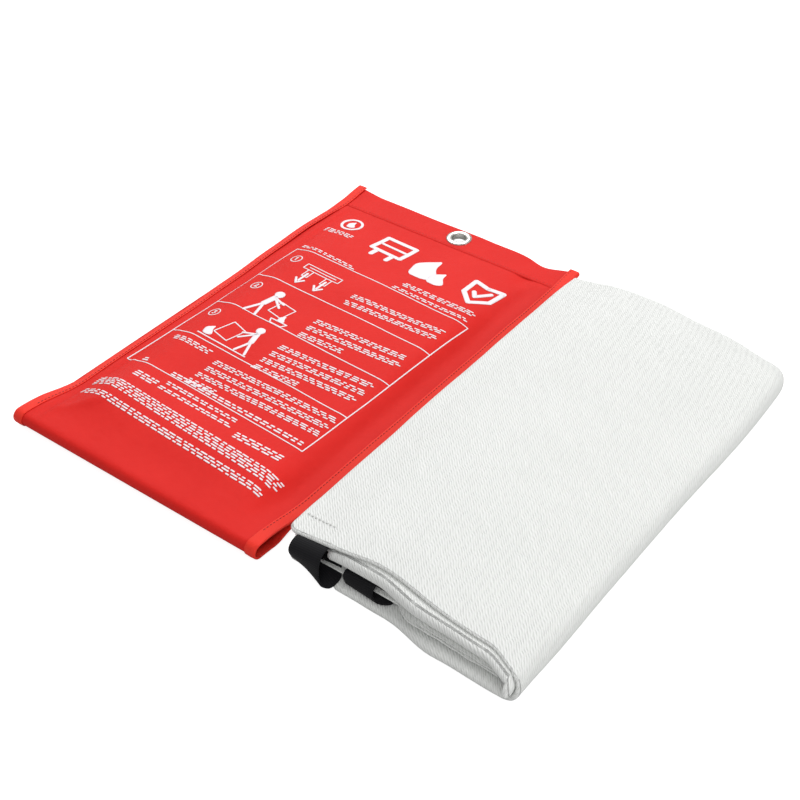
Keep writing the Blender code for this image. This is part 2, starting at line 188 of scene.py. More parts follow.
def ribs(nodes, pitch, angle, wander=0.0):
    """Raised lines, one every pitch metres, turned by angle. wander, in radians, makes them uneven."""
    phase = nodes.math("MULTIPLY", slanted(nodes, angle)[0], 2 * math.pi / pitch)
    if wander:
        phase = nodes.math("ADD", phase, nodes.math("MULTIPLY", patches(nodes, 9 * MM, 2.0), wander))
    return nodes.math("MULTIPLY_ADD", nodes.math("SINE", phase), 0.5, 0.5)


def patches(nodes, size, detail=3.0):
    """Soft random patches from 0 to 1, about size metres across."""
    where = nodes.add("ShaderNodeTexCoord").outputs["Object"]
    return nodes.add("ShaderNodeTexNoise", {"Vector": where, "Scale": 1 / size, "Detail": detail}).outputs[0]


def bump(nodes, height, depth, before=None):
    """Bump of the given depth in metres, on top of an earlier bump."""
    inputs = {"Height": height, "Strength": 1.0, "Distance": depth}
    if before is not None:
        inputs["Normal"] = before
    return nodes.add("ShaderNodeBump", inputs).outputs[0]


def red_cloth(name="red_oxford_cloth", shade=1.0):
    """Fine plain-woven polyester: slight sheen, faint patches and a thread-scale weave. A shade below 1
    gives a darker copy of the cloth, which is painted shade.
    """
    nodes = Nodes(name)
    threads = weave(nodes, 0.9 * MM)
    worn = patches(nodes, 45 * MM)
    base = nodes.blend(worn, colour(0.75 * shade, 0.012 * shade, 0.008 * shade),
                       colour(0.88 * shade, 0.025 * shade, 0.017 * shade))
    dark = nodes.blend(0.5, base, colour(0.50 * shade, 0.008, 0.007))
    woven = nodes.blend(threads, dark, base)
    normal = bump(nodes, threads, 0.10 * MM, bump(nodes, patches(nodes, 7 * MM, 2.0), 0.35 * MM))
    return nodes.set(colour=woven, roughness=0.60, normal=normal, sheen=0.03,
                     sheen_roughness=0.4, specular=0.16)


def tape_cloth():
    """Ribbed binding tape, brighter than the pouch's cloth."""
    nodes = Nodes("bright_binding_tape")
    lines = ribs(nodes, 0.8 * MM, math.radians(90))
    worn = patches(nodes, 20 * MM)
    base = nodes.blend(worn, colour(0.93, 0.030, 0.016), colour(1.0, 0.048, 0.026))
    woven = nodes.blend(lines, nodes.blend(0.35, base, colour(0.62, 0.018, 0.014)), base)
    return nodes.set(colour=woven, roughness=0.55, normal=bump(nodes, lines, 0.12 * MM),
                     sheen=0.02, specular=0.2)


def sewing_thread(name, tone, dark):
    """Twisted thread: two tones in fine slanting lines."""
    nodes = Nodes(name)
    where = nodes.add("ShaderNodeTexCoord").outputs["Object"]
    twist = nodes.add("ShaderNodeTexWave", {"Vector": where, "Scale": 900.0, "Distortion": 1.5},
                      bands_direction="DIAGONAL").outputs["Fac"]
    return nodes.set(colour=nodes.blend(twist, colour(*dark), colour(*tone)), roughness=0.5,
                     normal=bump(nodes, twist, 0.05 * MM))


def screen_ink():
    """White screen print: slightly uneven, with the cloth's red showing through faintly."""
    nodes = Nodes("white_screen_print")
    thin = patches(nodes, 5 * MM, 4.0)
    threads = weave(nodes, 0.9 * MM)
    base = nodes.blend(thin, colour(0.90, 0.80, 0.84), colour(0.97, 0.91, 0.94))
    return nodes.set(colour=base, roughness=0.6, specular=0.2, normal=bump(nodes, threads, 0.04 * MM))


def glass_twill():
    """White glass-fibre twill: slanting rows of threads, crossed by a second, slower slant."""
    nodes = Nodes("white_glass_twill")
    rows = ribs(nodes, 1.65 * MM, math.radians(-43), 9.0)
    floats = ribs(nodes, 2.2 * MM, math.radians(-60), 14.0)
    uneven = patches(nodes, 2.5 * MM, 4.0)
    height = nodes.math("MULTIPLY", rows, 0.66)
    for layer, share in ((floats, 0.32), (uneven, 0.36)):
        height = nodes.math("ADD", height, nodes.math("MULTIPLY", layer, share))
    base = nodes.blend(patches(nodes, 60 * MM), colour(0.805, 0.815, 0.80), colour(0.865, 0.87, 0.86))
    shaded = nodes.blend(height, nodes.blend(0.75, base, colour(0.58, 0.60, 0.56)), base)
    return nodes.set(colour=shaded, roughness=0.6, normal=bump(nodes, height, 0.33 * MM),
                     sheen=0.15, sheen_roughness=0.4, specular=0.3)


def webbing():
    """Black ribbed webbing with a dull weave."""
    nodes = Nodes("black_webbing")
    lines = ribs(nodes, 1.3 * MM, 0.0)
    threads = weave(nodes, 0.8 * MM)
    height = nodes.math("ADD", nodes.math("MULTIPLY", lines, 0.6), nodes.math("MULTIPLY", threads, 0.4))
    base = nodes.blend(height, colour(0.003, 0.003, 0.004), colour(0.010, 0.010, 0.012))
    return nodes.set(colour=base, roughness=0.75, normal=bump(nodes, height, 0.16 * MM),
                     sheen=0.08, sheen_roughness=0.5, specular=0.15)


def touch_fastener(name, pile):
    """Black hook or loop strip: a rough pile."""
    nodes = Nodes(name)
    where = nodes.add("ShaderNodeTexCoord").outputs["Object"]
    tufts = nodes.add("ShaderNodeTexVoronoi", {"Vector": where, "Scale": 1 / pile}).outputs["Distance"]
    base = nodes.blend(tufts, colour(0.035, 0.035, 0.037), colour(0.008, 0.008, 0.009))
    return nodes.set(colour=base, roughness=0.95, normal=bump(nodes, tufts, 0.6 * MM), sheen=0.4,
                     specular=0.1)


def polished_nickel():
    """Bright nickel plate with faint rubbing marks."""
    nodes = Nodes("polished_nickel")
    marks = patches(nodes, 1.2 * MM, 6.0)
    base = nodes.blend(marks, colour(0.62, 0.60, 0.56), colour(0.80, 0.79, 0.76))
    rough = nodes.math("MULTIPLY_ADD", marks, 0.2, 0.12)
    return nodes.set(colour=base, metallic=1.0, roughness=rough, normal=bump(nodes, marks, 0.02 * MM))


# ---- mesh builders ----

def make_piece(name, points, faces, coordinates, material, body=None):
    """A smooth mesh with UV coordinates in metres, riding on a body where one is named."""
    mesh = bpy.data.meshes.new(name)
    mesh.from_pydata([tuple(p) for p in points], [], faces)
    layer = mesh.uv_layers.new(name="cloth")
    for loop in mesh.loops:
        layer.data[loop.index].uv = coordinates[loop.vertex_index]
    mesh.shade_smooth()
    mesh.materials.append(material)
    piece = bpy.data.objects.new(name, mesh)
    bpy.context.scene.collection.objects.link(piece)
    if body:
        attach(piece, body)
    return piece


def stands_for(piece, slot, *nodes):
    """Hides the CAD nodes that a piece stands for. piece and slot are not used."""
    if nodes:
        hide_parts(*nodes)


def cloth_sheet(name, rows, places, material, thickness, body=None, inward=None):
    """A grid of points as cloth with real thickness below them. places holds each point's UV. The outer side
    is up where the rows run towards the mouth and the columns to the right."""
    across = len(rows[0])
    points = [p for row in rows for p in row]
    coordinates = [uv for row in places for uv in row]
    faces = []
    for r in range(len(rows) - 1):
        for c in range(across - 1):
            a = r * across + c
            faces.append((a, a + across, a + across + 1, a + 1))
    piece = make_piece(name, points, faces, coordinates, material, body)
    solid = piece.modifiers.new("Cloth thickness", "SOLIDIFY")
    solid.thickness = thickness
    solid.offset = -1.0
    solid.use_even_offset = False
    # The inner face takes its own material; the red pieces give it a darker copy of the cloth, which is
    # painted shade.
    if inward:
        piece.data.materials.append(inward)
        solid.material_offset = 1
        solid.material_offset_rim = 0
    return piece


def swept(name, loops, material, body=None, lengths=None):
    """Closed loops of points joined along a path, with capped ends. lengths holds the path's length at each
    loop."""
    size = len(loops[0])
    points = [p for loop in loops for p in loop]
    coordinates = []
    for row, loop in enumerate(loops):
        girth = 0.0
        for k, point in enumerate(loop):
            if k:
                girth += (Vector(point) - Vector(loop[k - 1])).length
            coordinates.append((lengths[row] if lengths else 0.0, girth))
    faces = [tuple(range(size))[::-1], tuple(range(len(points) - size, len(points)))]
    for row in range(len(loops) - 1):
        for k in range(size):
            a, b = row * size + k, row * size + (k + 1) % size
            faces.append((a, b, b + size, a + size))
    piece = make_piece(name, points, faces, coordinates, material, body)
    tidy = bmesh.new()
    tidy.from_mesh(piece.data)
    bmesh.ops.recalc_face_normals(tidy, faces=tidy.faces)
    tidy.to_mesh(piece.data)
    tidy.free()
    return piece


# ---- pouch: one surface that every red piece follows ----

EDGE_FALL = 0.060                   # length over which the bound edges come down from the mouth
SHOULDER = 0.034                    # width over which the cloth rises from a binding
EDGE_REST = BEND_Z - 1.6 * MM
CREST = BEND_TOP + 0.2 * MM
ROLL_RISE_LEFT = 6.0 * MM
ROLL_RISE_RIGHT = 3.8 * MM
HEM_TOP = hem_high.z
PUCKER_X = POUCH_RIGHT - 0.034
LEFT_LEAN = 2.4 * MM
RIGHT_LEAN = 0.7 * MM


def edge_height(x, y):
    """Top of the cloth along the bound edges: high at the mouth's half round, low towards the header."""
    rest = mix(EDGE_REST, HEM_TOP, ease((y - MOUTH_Y) / (HEM_Y - MOUTH_Y)))
    side = 0.0 if x < POUCH_MIDDLE else 7.0
    lift = 0.9 * MM * ripple(0, y, 0.045, side) * ease((y - BEND_Y) / 0.03)
    return mix(BEND_TOP, rest + lift, ease((y - BEND_Y) / EDGE_FALL))


def lean(x, y):
    """How far the bound edges droop outwards."""
    left = LEFT_LEAN * (1 - ease((x - POUCH_LEFT) / (1.3 * TAPE_WIDTH)))
    right = RIGHT_LEAN * (1 - ease((POUCH_RIGHT - x) / (1.3 * TAPE_WIDTH)))
    return (left + right) * ease((y - BEND_Y - 0.02) / 0.04) * (1 - ease((y - HEM_Y + 0.02) / 0.02))


def edge_drift(side, y):
    """How far a bound edge wanders outwards from straight. The left one bulges below the header."""
    bulge = 3.6 * MM * hump(y, HEM_Y - 0.055, 0.060) * (1 - ease((y - HEM_Y + 0.022) / 0.022))
    seed = 32.0 if side == "left" else 30.0
    return (bulge if side == "left" else 0.0) + 0.5 * MM * ripple(0, y, 0.06, seed)


def side_pleats(x, y):
    """Long soft pleats beside the left binding, where the cloth was gathered."""
    inward = x - POUCH_LEFT - TAPE_WIDTH
    along = 0.6 + 0.4 * ripple(0, y, 0.07, 3.0)
    fade = ease(inward / 0.003) * (1 - ease((inward - 0.008) / 0.014))
    wave = math.sin(2 * math.pi * (inward / 0.0115 + 0.35 * ripple(0, y, 0.11, 5.0)))
    return 1.15 * MM * wave * fade * along


def valley(x, y):
    """Shallow trough beside the right binding."""
    inward = POUCH_RIGHT - x
    run = ease((y - BEND_Y) / 0.05) * (1 - ease((y - HEM_Y + 0.03) / 0.04))
    return -1.7 * MM * hump(inward, 0.021 + 0.003 * ripple(0, y, 0.08, 9.0), 0.007) * run


def corner_ridge(x, y):
    """Faint slanting ridge that runs in from the left end of the mouth."""
    a, b = x - POUCH_LEFT - 0.018, y - BEND_Y - 0.012
    along, across = (a + b) * math.sqrt(0.5), (b - a) * math.sqrt(0.5)
    return 1.3 * MM * hump(across, 0.0, 0.0045) * ease(along / 0.01) * (1 - ease((along - 0.03) / 0.03))


def pucker(x, y):
    """The cloth is drawn in where the header seam ends on the right."""
    return -1.6 * MM * hump(x, PUCKER_X, 0.008) * hump(y, HEM_Y - 0.007, 0.010)


def soft_waves(x, y):
    """Broad low waves and finer creases of a cloth that was folded in a box."""
    inside = ease((x - POUCH_LEFT - TAPE_WIDTH) / 0.03) * ease((POUCH_RIGHT - TAPE_WIDTH - x) / 0.03)
    broad = 1.6 * MM * ripple(x, y, 0.080, 11.0) + 0.5 * MM * ripple(x, y, 0.028, 13.0)
    return broad * inside * ease((y - BEND_Y) / 0.04)


def front_height(x, y):
    """Top of the front cloth."""
    from_tape = min(x - POUCH_LEFT, POUCH_RIGHT - x) - TAPE_WIDTH
    share = (y - BEND_Y) / (HEM_Y - BEND_Y)
    rise = mix(ROLL_RISE_LEFT, ROLL_RISE_RIGHT, ease((x - POUCH_LEFT) / (POUCH_RIGHT - POUCH_LEFT)))
    crest = mix(BEND_TOP, CREST, ease(share / 0.5)) + rise * hump(y, BEND_Y + 0.048, 0.026)
    crest = mix(crest, edge_height(x, y), ease((share - 0.70) / 0.30))
    base = mix(edge_height(x, y), crest, ease(from_tape / SHOULDER))
    seam = -0.25 * MM * hump(y, HEM_Y, 0.0016)
    near_hem = 1 - ease((y - HEM_Y + 0.012) / 0.012)
    detail = (side_pleats(x, y) + valley(x, y) + corner_ridge(x, y) + soft_waves(x, y)) * near_hem
    return base - lean(x, y) + detail * ease((y - BEND_Y) / 0.012) + pucker(x, y) + seam


def header_drift(x):
    """How far the hanging end's edge wanders from straight: it is drawn in beside the pucker."""
    return -4.5 * MM * hump(x, PUCKER_X + 0.004, 0.014) + 0.9 * MM * ripple(x, 0, 0.05, 17.0)


def header_height(x, y):
    """Top of the header hem, lifted at the left corner and slack between the eyelet and the right corner."""
    rise = ease((y - HEM_Y) / (HANG_END - HEM_Y))
    clear = ease((abs(x - EYELET.x) - 0.012) / 0.02)
    corner = 2.4 * MM * (1 - ease((x - POUCH_LEFT) / 0.03))
    slack = -1.1 * MM * hump(x, PUCKER_X, 0.016) + 1.5 * MM * hump(x, POUCH_RIGHT, 0.02)
    waves = 0.8 * MM * ripple(x, y, 0.045, 19.0)
    return HEM_TOP + (corner + slack + waves) * clear * rise


# ---- pouch pieces ----

CLOTH = 0.6 * MM


def columns():
    """Places across the pouch, close together over the pleats and tapes."""
    left = spaced(POUCH_LEFT + 0.8 * MM, POUCH_LEFT + 0.052, 34)
    middle = spaced(POUCH_LEFT + 0.052, POUCH_RIGHT - 0.045, 34)[1:]
    right = spaced(POUCH_RIGHT - 0.045, POUCH_RIGHT - 0.8 * MM, 24)[1:]
    return left + middle + right


def round_mouth(angle):
    """A place on the mouth's half round, 90 degrees on top and 270 below."""
    a = math.radians(angle)
    return BEND_Y + BEND_OUTER * math.cos(a), BEND_Z + BEND_OUTER * math.sin(a)


def build_front(materials):
    """The front cloth, from the header round the mouth to its underside."""
    rows = [[(x, y, front_height(x, y)) for x in columns()] for y in spaced(HEM_Y + 1.0 * MM, BEND_Y, 136)]
    rows += [[(x, *round_mouth(angle)) for x in columns()] for angle in spaced(90, 270, 20)[1:]]
    places = with_lengths(rows, HEM_Y)
    piece = cloth_sheet("pouch_front_cloth", rows, places, materials["red"], CLOTH,
                        inward=materials["red_inside"])
    stands_for(piece, "red_cloth", "pouch_front_panel")
    bend_with_flap(piece)
    return piece


def with_lengths(rows, start):
    """UVs for rows of cloth that run towards the mouth: x, and the distance along the cloth from start."""
    places, length = [], start
    middle = len(rows[0]) // 2
    for row, before in zip(rows, [rows[0]] + rows[:-1]):
        length -= math.dist(row[middle], before[middle])
        places.append([(p[0], length) for p in row])
    return places


def flap_height(x, y):
    """Underside of the flap: on the ground, with its sides drawn up to the bound edges past the mouth."""
    low = BEND_Z - BEND_OUTER
    settle = mix(low, flap_low.z + 0.2 * MM, ease((y - BEND_Y) / 0.02))
    edge = 1 - ease((min(x - POUCH_LEFT, POUCH_RIGHT - x)) / 0.022)
    lift = 3.6 * MM * edge * ease((y - BEND_Y - 0.014) / 0.020) * (1 - ease((y - MOUTH_Y - 0.002) / 0.012))
    return settle + lift + 0.3 * MM * ripple(x, y, 0.03, 23.0) * ease((y - MOUTH_Y) / 0.02)


TUBE_LENGTH = MOUTH_Y - BEND_Y - 0.002


def bend_with_flap(piece):
    """Bakes the piece's placement into its mesh."""
    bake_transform(piece)


def build_flap(materials):
    """The flat part of the flap under the pouch."""
    rows = [[(x, y, flap_height(x, y)) for x in columns()] for y in spaced(BEND_Y, flap_high.y, 40)]
    piece = cloth_sheet("closing_flap_cloth", rows, with_lengths(rows, 0.0), materials["red"], CLOTH, "flap",
                        materials["red_inside"])
    stands_for(piece, "red_cloth", "closing_flap")


def build_header(materials):
    """The folded hem: front face, rounded top edge and back face, with a real hole for the eyelet."""
    under = hem_low.z
    turn = [math.radians(a) for a in spaced(90, -90, 10)]
    loops, lengths = [], []
    across = spaced(POUCH_LEFT + 0.8 * MM, POUCH_RIGHT - 0.8 * MM, 120)
    for x in across:
        top = header_height(x, HANG_END)
        half = (top - max(under, top - 3.2 * MM)) / 2
        end = HANG_END - half + header_drift(x)
        front = [(x, mix(HEM_Y - 1.0 * MM, end, k / 12)) for k in range(12)]
        loop = [(px, y, header_height(px, y) + 0.05 * MM) for px, y in front]
        loop += [(x, end + half * math.cos(a), top - half + half * math.sin(a)) for a in turn]
        loop += [(x, mix(end, HEM_Y - 1.0 * MM, k / 6), mix(top - 2 * half, under, k / 6))
                 for k in range(1, 7)]
        loops.append(loop)
        lengths.append(x)
    piece = swept("header_hem_cloth", loops, materials["red"], None, lengths)
    bpy.ops.mesh.primitive_cylinder_add(vertices=64, radius=(eyelet_high.x - eyelet_low.x) * 0.33,
                                        depth=0.05, location=EYELET)
    cutter = bpy.context.object
    hole = piece.modifiers.new("Eyelet hole", "BOOLEAN")
    hole.object = cutter
    hole.solver = "EXACT"
    bpy.context.view_layer.objects.active = piece
    bpy.ops.object.modifier_apply(modifier=hole.name)
    bpy.data.objects.remove(cutter)
    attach(piece, "pouch")
    stands_for(piece, "red_cloth", "header_hem")


def back_height(x, y):
    """Underside of the back panel: drawn up to the bound edges, slack between them."""
    edge = min(x - POUCH_LEFT, POUCH_RIGHT - x)
    bound = edge_height(x, y) - lean(x, y) - 2.0 * MM
    slack = mix(back_high.z - CLOTH, back_low.z, ease((y - MOUTH_Y) / (HEM_Y - MOUTH_Y)))
    waves = 0.5 * MM * ripple(x, y, 0.05, 29.0) * ease((edge - 0.01) / 0.02)
    height = mix(max(bound, slack), slack, ease((edge - 0.009) / 0.02))
    return height + waves * ease((y - MOUTH_Y - 0.06) / 0.03)


def build_back(materials):
    """The back panel, from the mouth to the header."""
    across = columns()[::2]
    lengths = spaced(MOUTH_Y, HEM_Y + 1.0 * MM, 70)
    rows = [[(x, y, back_height(x, y)) for x in across] for y in lengths]
    places = [[(x, y) for x in across] for y in lengths]
    piece = cloth_sheet("pouch_back_cloth", rows, places, materials["red"], CLOTH, "pouch")
    stands_for(piece, "red_cloth", "pouch_back_panel")


def tape_loop(edge_x, inward, above, below, place):
    """Section of the folded tape: soft outer fold, a step at its inner edges, and a slot for the cloth."""
    half = (above + below) / 2
    middle = (above - below) / 2
    wall = 0.55 * MM
    fold = [(0.0012 - 0.0012 * math.sin(a), middle + half * math.cos(a))
            for a in (math.radians(d) for d in spaced(0, 180, 8))]
    outline = [(TAPE_WIDTH, above - wall), (TAPE_WIDTH, above - 0.15 * MM), (TAPE_WIDTH - 0.4 * MM, above),
               (TAPE_WIDTH * 0.5, above + 0.15 * MM)]
    outline += fold
    outline += [(TAPE_WIDTH * 0.5, -below), (TAPE_WIDTH, -below), (TAPE_WIDTH, wall - below),
                (0.0017, wall - below), (0.0017, above - wall)]
    return [place(edge_x + inward * d, n) for d, n in outline]


TAPE_ABOVE = 0.75 * MM


def tape_below(y):
    """How far the tape reaches below the cloth's top: over one cloth at the mouth, over both above it."""
    return mix(CLOTH + 0.5 * MM, 2.9 * MM, ease((y - MOUTH_Y + 0.012) / 0.012))


def in_header(y):
    """0 on the pouch's body, 1 on its header."""
    return ease((y - HEM_Y + 0.004) / 0.008)


def bound_height(edge_x, x, y):
    """Top of the cloth inside a binding."""
    return mix(edge_height(edge_x, y) - lean(x, y), header_height(edge_x, y), in_header(y))


def build_binding(side, edge_x, inward, materials):
    """The tape along one edge and round the mouth, and its short length under the mouth, which rides on the
    flap.
    """
    def section(y, above, below, place):
        """One section, on the edge's wandering line. place(x, n) gives (y, z) for a height n above the
        cloth."""
        aside = -inward * edge_drift(side, y)

        def at(x, n):
            inside = edge_x + inward * min(abs(x - edge_x), TAPE_WIDTH)
            return (x + aside, *place(inside, n))
        return tape_loop(edge_x, inward, above, below, at)

    loops, lengths = [], []
    for y in spaced(HANG_END + 0.6 * MM, BEND_Y, 156):
        def on_top(x, n):
            return y, max(0.2 * MM, bound_height(edge_x, x, y) + n)
        above = mix(TAPE_ABOVE, TAPE_ABOVE + 0.2 * MM, in_header(y))
        below = mix(tape_below(y), 3.3 * MM, in_header(y))
        loops.append(section(y, above, below, on_top))
        lengths.append(y)
    for angle in turns(90, 270, 18)[1:]:
        def round_the_mouth(x, n):
            reach = BEND_OUTER + n
            return BEND_Y + reach * math.cos(angle), max(0.1 * MM, BEND_Z + reach * math.sin(angle))
        loops.append(section(BEND_Y, TAPE_ABOVE, tape_below(BEND_Y), round_the_mouth))
        lengths.append(BEND_Y - BEND_OUTER * (angle - math.pi / 2))
    main = swept(f"{side}_binding_tape", loops, materials["tape"], None, lengths)
    stands_for(main, "binding_tape", f"{side}_edge_binding")
    bend_with_flap(main)

    lengths = spaced(BEND_Y, BEND_Y + TUBE_LENGTH, 15)
    loops = []
    for y in lengths:
        loop = section(BEND_Y, TAPE_ABOVE, tape_below(BEND_Y),
                       lambda x, n: (y, max(0.1 * MM, flap_height(x, y) - n)))
        loops.append(loop)
    below_mouth = swept(f"{side}_binding_tape_below_mouth", loops, materials["tape"], "flap", lengths)
    stands_for(below_mouth, "binding_tape")


# ---- seams ----

STITCH = 2.3 * MM
STITCH_PITCH = 3.2 * MM
THREAD_RADIUS = 0.28 * MM
THIN_THREAD = 0.2 * MM


def stitch_row(name, path, material, body, slot, node, radius=THREAD_RADIUS):
    """Separate arched stitches along a path. path(distance) gives (point, up), and None past its end."""
    points, faces, coordinates = [], [], []
    sides, rings = 6, 5
    at = 0.0
    while path(at) and path(at + STITCH):
        start, end = Vector(path(at)[0]), Vector(path(at + STITCH)[0])
        up = Vector(path(at)[1])
        along = end - start
        side = along.cross(up).normalized()
        base = len(points)
        for ring in range(rings):
            share = ring / (rings - 1)
            arch = math.sin(math.pi * share)
            girth = radius * (0.35 + 0.65 * arch ** 0.5)
            centre = start + along * share + up * (radius * (1.1 * arch - 0.5))
            for k in range(sides):
                a = 2 * math.pi * k / sides
                points.append(centre + side * girth * math.cos(a) + up * girth * math.sin(a))
                coordinates.append((at + share * STITCH, girth * a))
        faces.append(tuple(base + k for k in range(sides))[::-1])
        faces.append(tuple(len(points) - sides + k for k in range(sides)))
        for ring in range(rings - 1):
            for k in range(sides):
                a = base + ring * sides + k
                b = base + ring * sides + (k + 1) % sides
                faces.append((a, b, b + sides, a + sides))
        at += STITCH_PITCH
    stands_for(make_piece(name, points, faces, coordinates, material, body), slot, node)


def straight_path(start, end, height, up=(0, 0, 1), drift=lambda y: 0.0):
    """A path for stitches between two (x, y) places, on the surface that height(x, y) gives. drift(y) moves
    it sideways."""
    span = math.dist(start, end)

    def path(at):
        if at > span:
            return None
        x, y = mix(start[0], end[0], at / span), mix(start[1], end[1], at / span)
        return (x + drift(y), y, height(x, y)), up
    return path


def build_pouch_seams(materials):
    """The rows of stitches on both tapes, the header's seam and the flap's hem."""
    for side, edge_x, inward in (("left", POUCH_LEFT, 1), ("right", POUCH_RIGHT, -1)):
        x = edge_x + inward * (TAPE_WIDTH - 1.6 * MM)
        path = straight_path((x, HANG_END - 1 * MM), (x, BEND_Y + 0.010),
                             lambda x, y: bound_height(edge_x, x, y) + TAPE_ABOVE + 0.1 * MM,
                             drift=lambda y: -inward * edge_drift(side, y))
        stitch_row(f"{side}_binding_stitches", path, materials["dark_thread"], "pouch", "red_thread",
                   f"{side}_binding_thread")
    y = HEM_Y + 2.0 * MM
    path = straight_path((POUCH_LEFT + TAPE_WIDTH, y), (POUCH_RIGHT - TAPE_WIDTH, y),
                         lambda x, y: header_height(x, y) + 0.1 * MM)
    stitch_row("header_seam_stitches", path, materials["red_thread"], "pouch", "red_thread",
               "header_seam_thread", THIN_THREAD)
    y = flap_high.y - 3 * MM
    path = straight_path((POUCH_LEFT + 4 * MM, y), (POUCH_RIGHT - 4 * MM, y),
                         lambda x, y: flap_height(x, y) - 0.05 * MM, up=(0, 0, -1))
    stitch_row("flap_hem_stitches", path, materials["red_thread"], "flap", "red_thread",
               "flap_hem_thread", THIN_THREAD)


def build_fastener(name, node, body, material):
    """A strip of touch fastener with rounded ends and edges."""
    low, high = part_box(node)
    half, middle = (high.z - low.z) / 2, (high.z + low.z) / 2
    corner = 4 * MM
    across = spaced(low.x, high.x, 60)
    loops = []
    for x in across:
        from_end = min(1.0, min(x - low.x, high.x - x) / corner)
        inset = corner * (1 - math.sqrt(max(0.0, 1 - (1 - from_end) ** 2)))
        ends = ((low.y + inset + half, 90), (high.y - inset - half, -90))
        loops.append([(x, y + half * math.cos(a), middle + half * math.sin(a))
                      for y, start in ends for a in turns(start, start + 180, 6)])
    stands_for(swept(name, loops, material, body, across), "touch_fastener", node)


# ---- printing on the pouch: pictograms and bars, no lettering ----

ROW = 0.0476                        # height of one row of the printed frame
MOUTH_END = panel_low.y
FRAME_LEFT = POUCH_MIDDLE - 0.0969
FRAME_RIGHT = POUCH_MIDDLE + 0.0818
FRAME_TOP = MOUTH_END + 0.2852
FRAME_LOW = FRAME_TOP - 4 * ROW
LINE = 0.9 * MM                     # width of the frame's lines
TURNED = math.radians(-2.4)         # the print sits slightly turned on the cloth
PRINT_MIDDLE = Vector((POUCH_MIDDLE, MOUTH_END + 0.18))


def on_cloth(x, y):
    """Where a place of the print lies on the pouch."""
    dx, dy = x - PRINT_MIDDLE.x, y - PRINT_MIDDLE.y
    return (PRINT_MIDDLE.x + dx * math.cos(TURNED) - dy * math.sin(TURNED),
            PRINT_MIDDLE.y + dx * math.sin(TURNED) + dy * math.cos(TURNED))


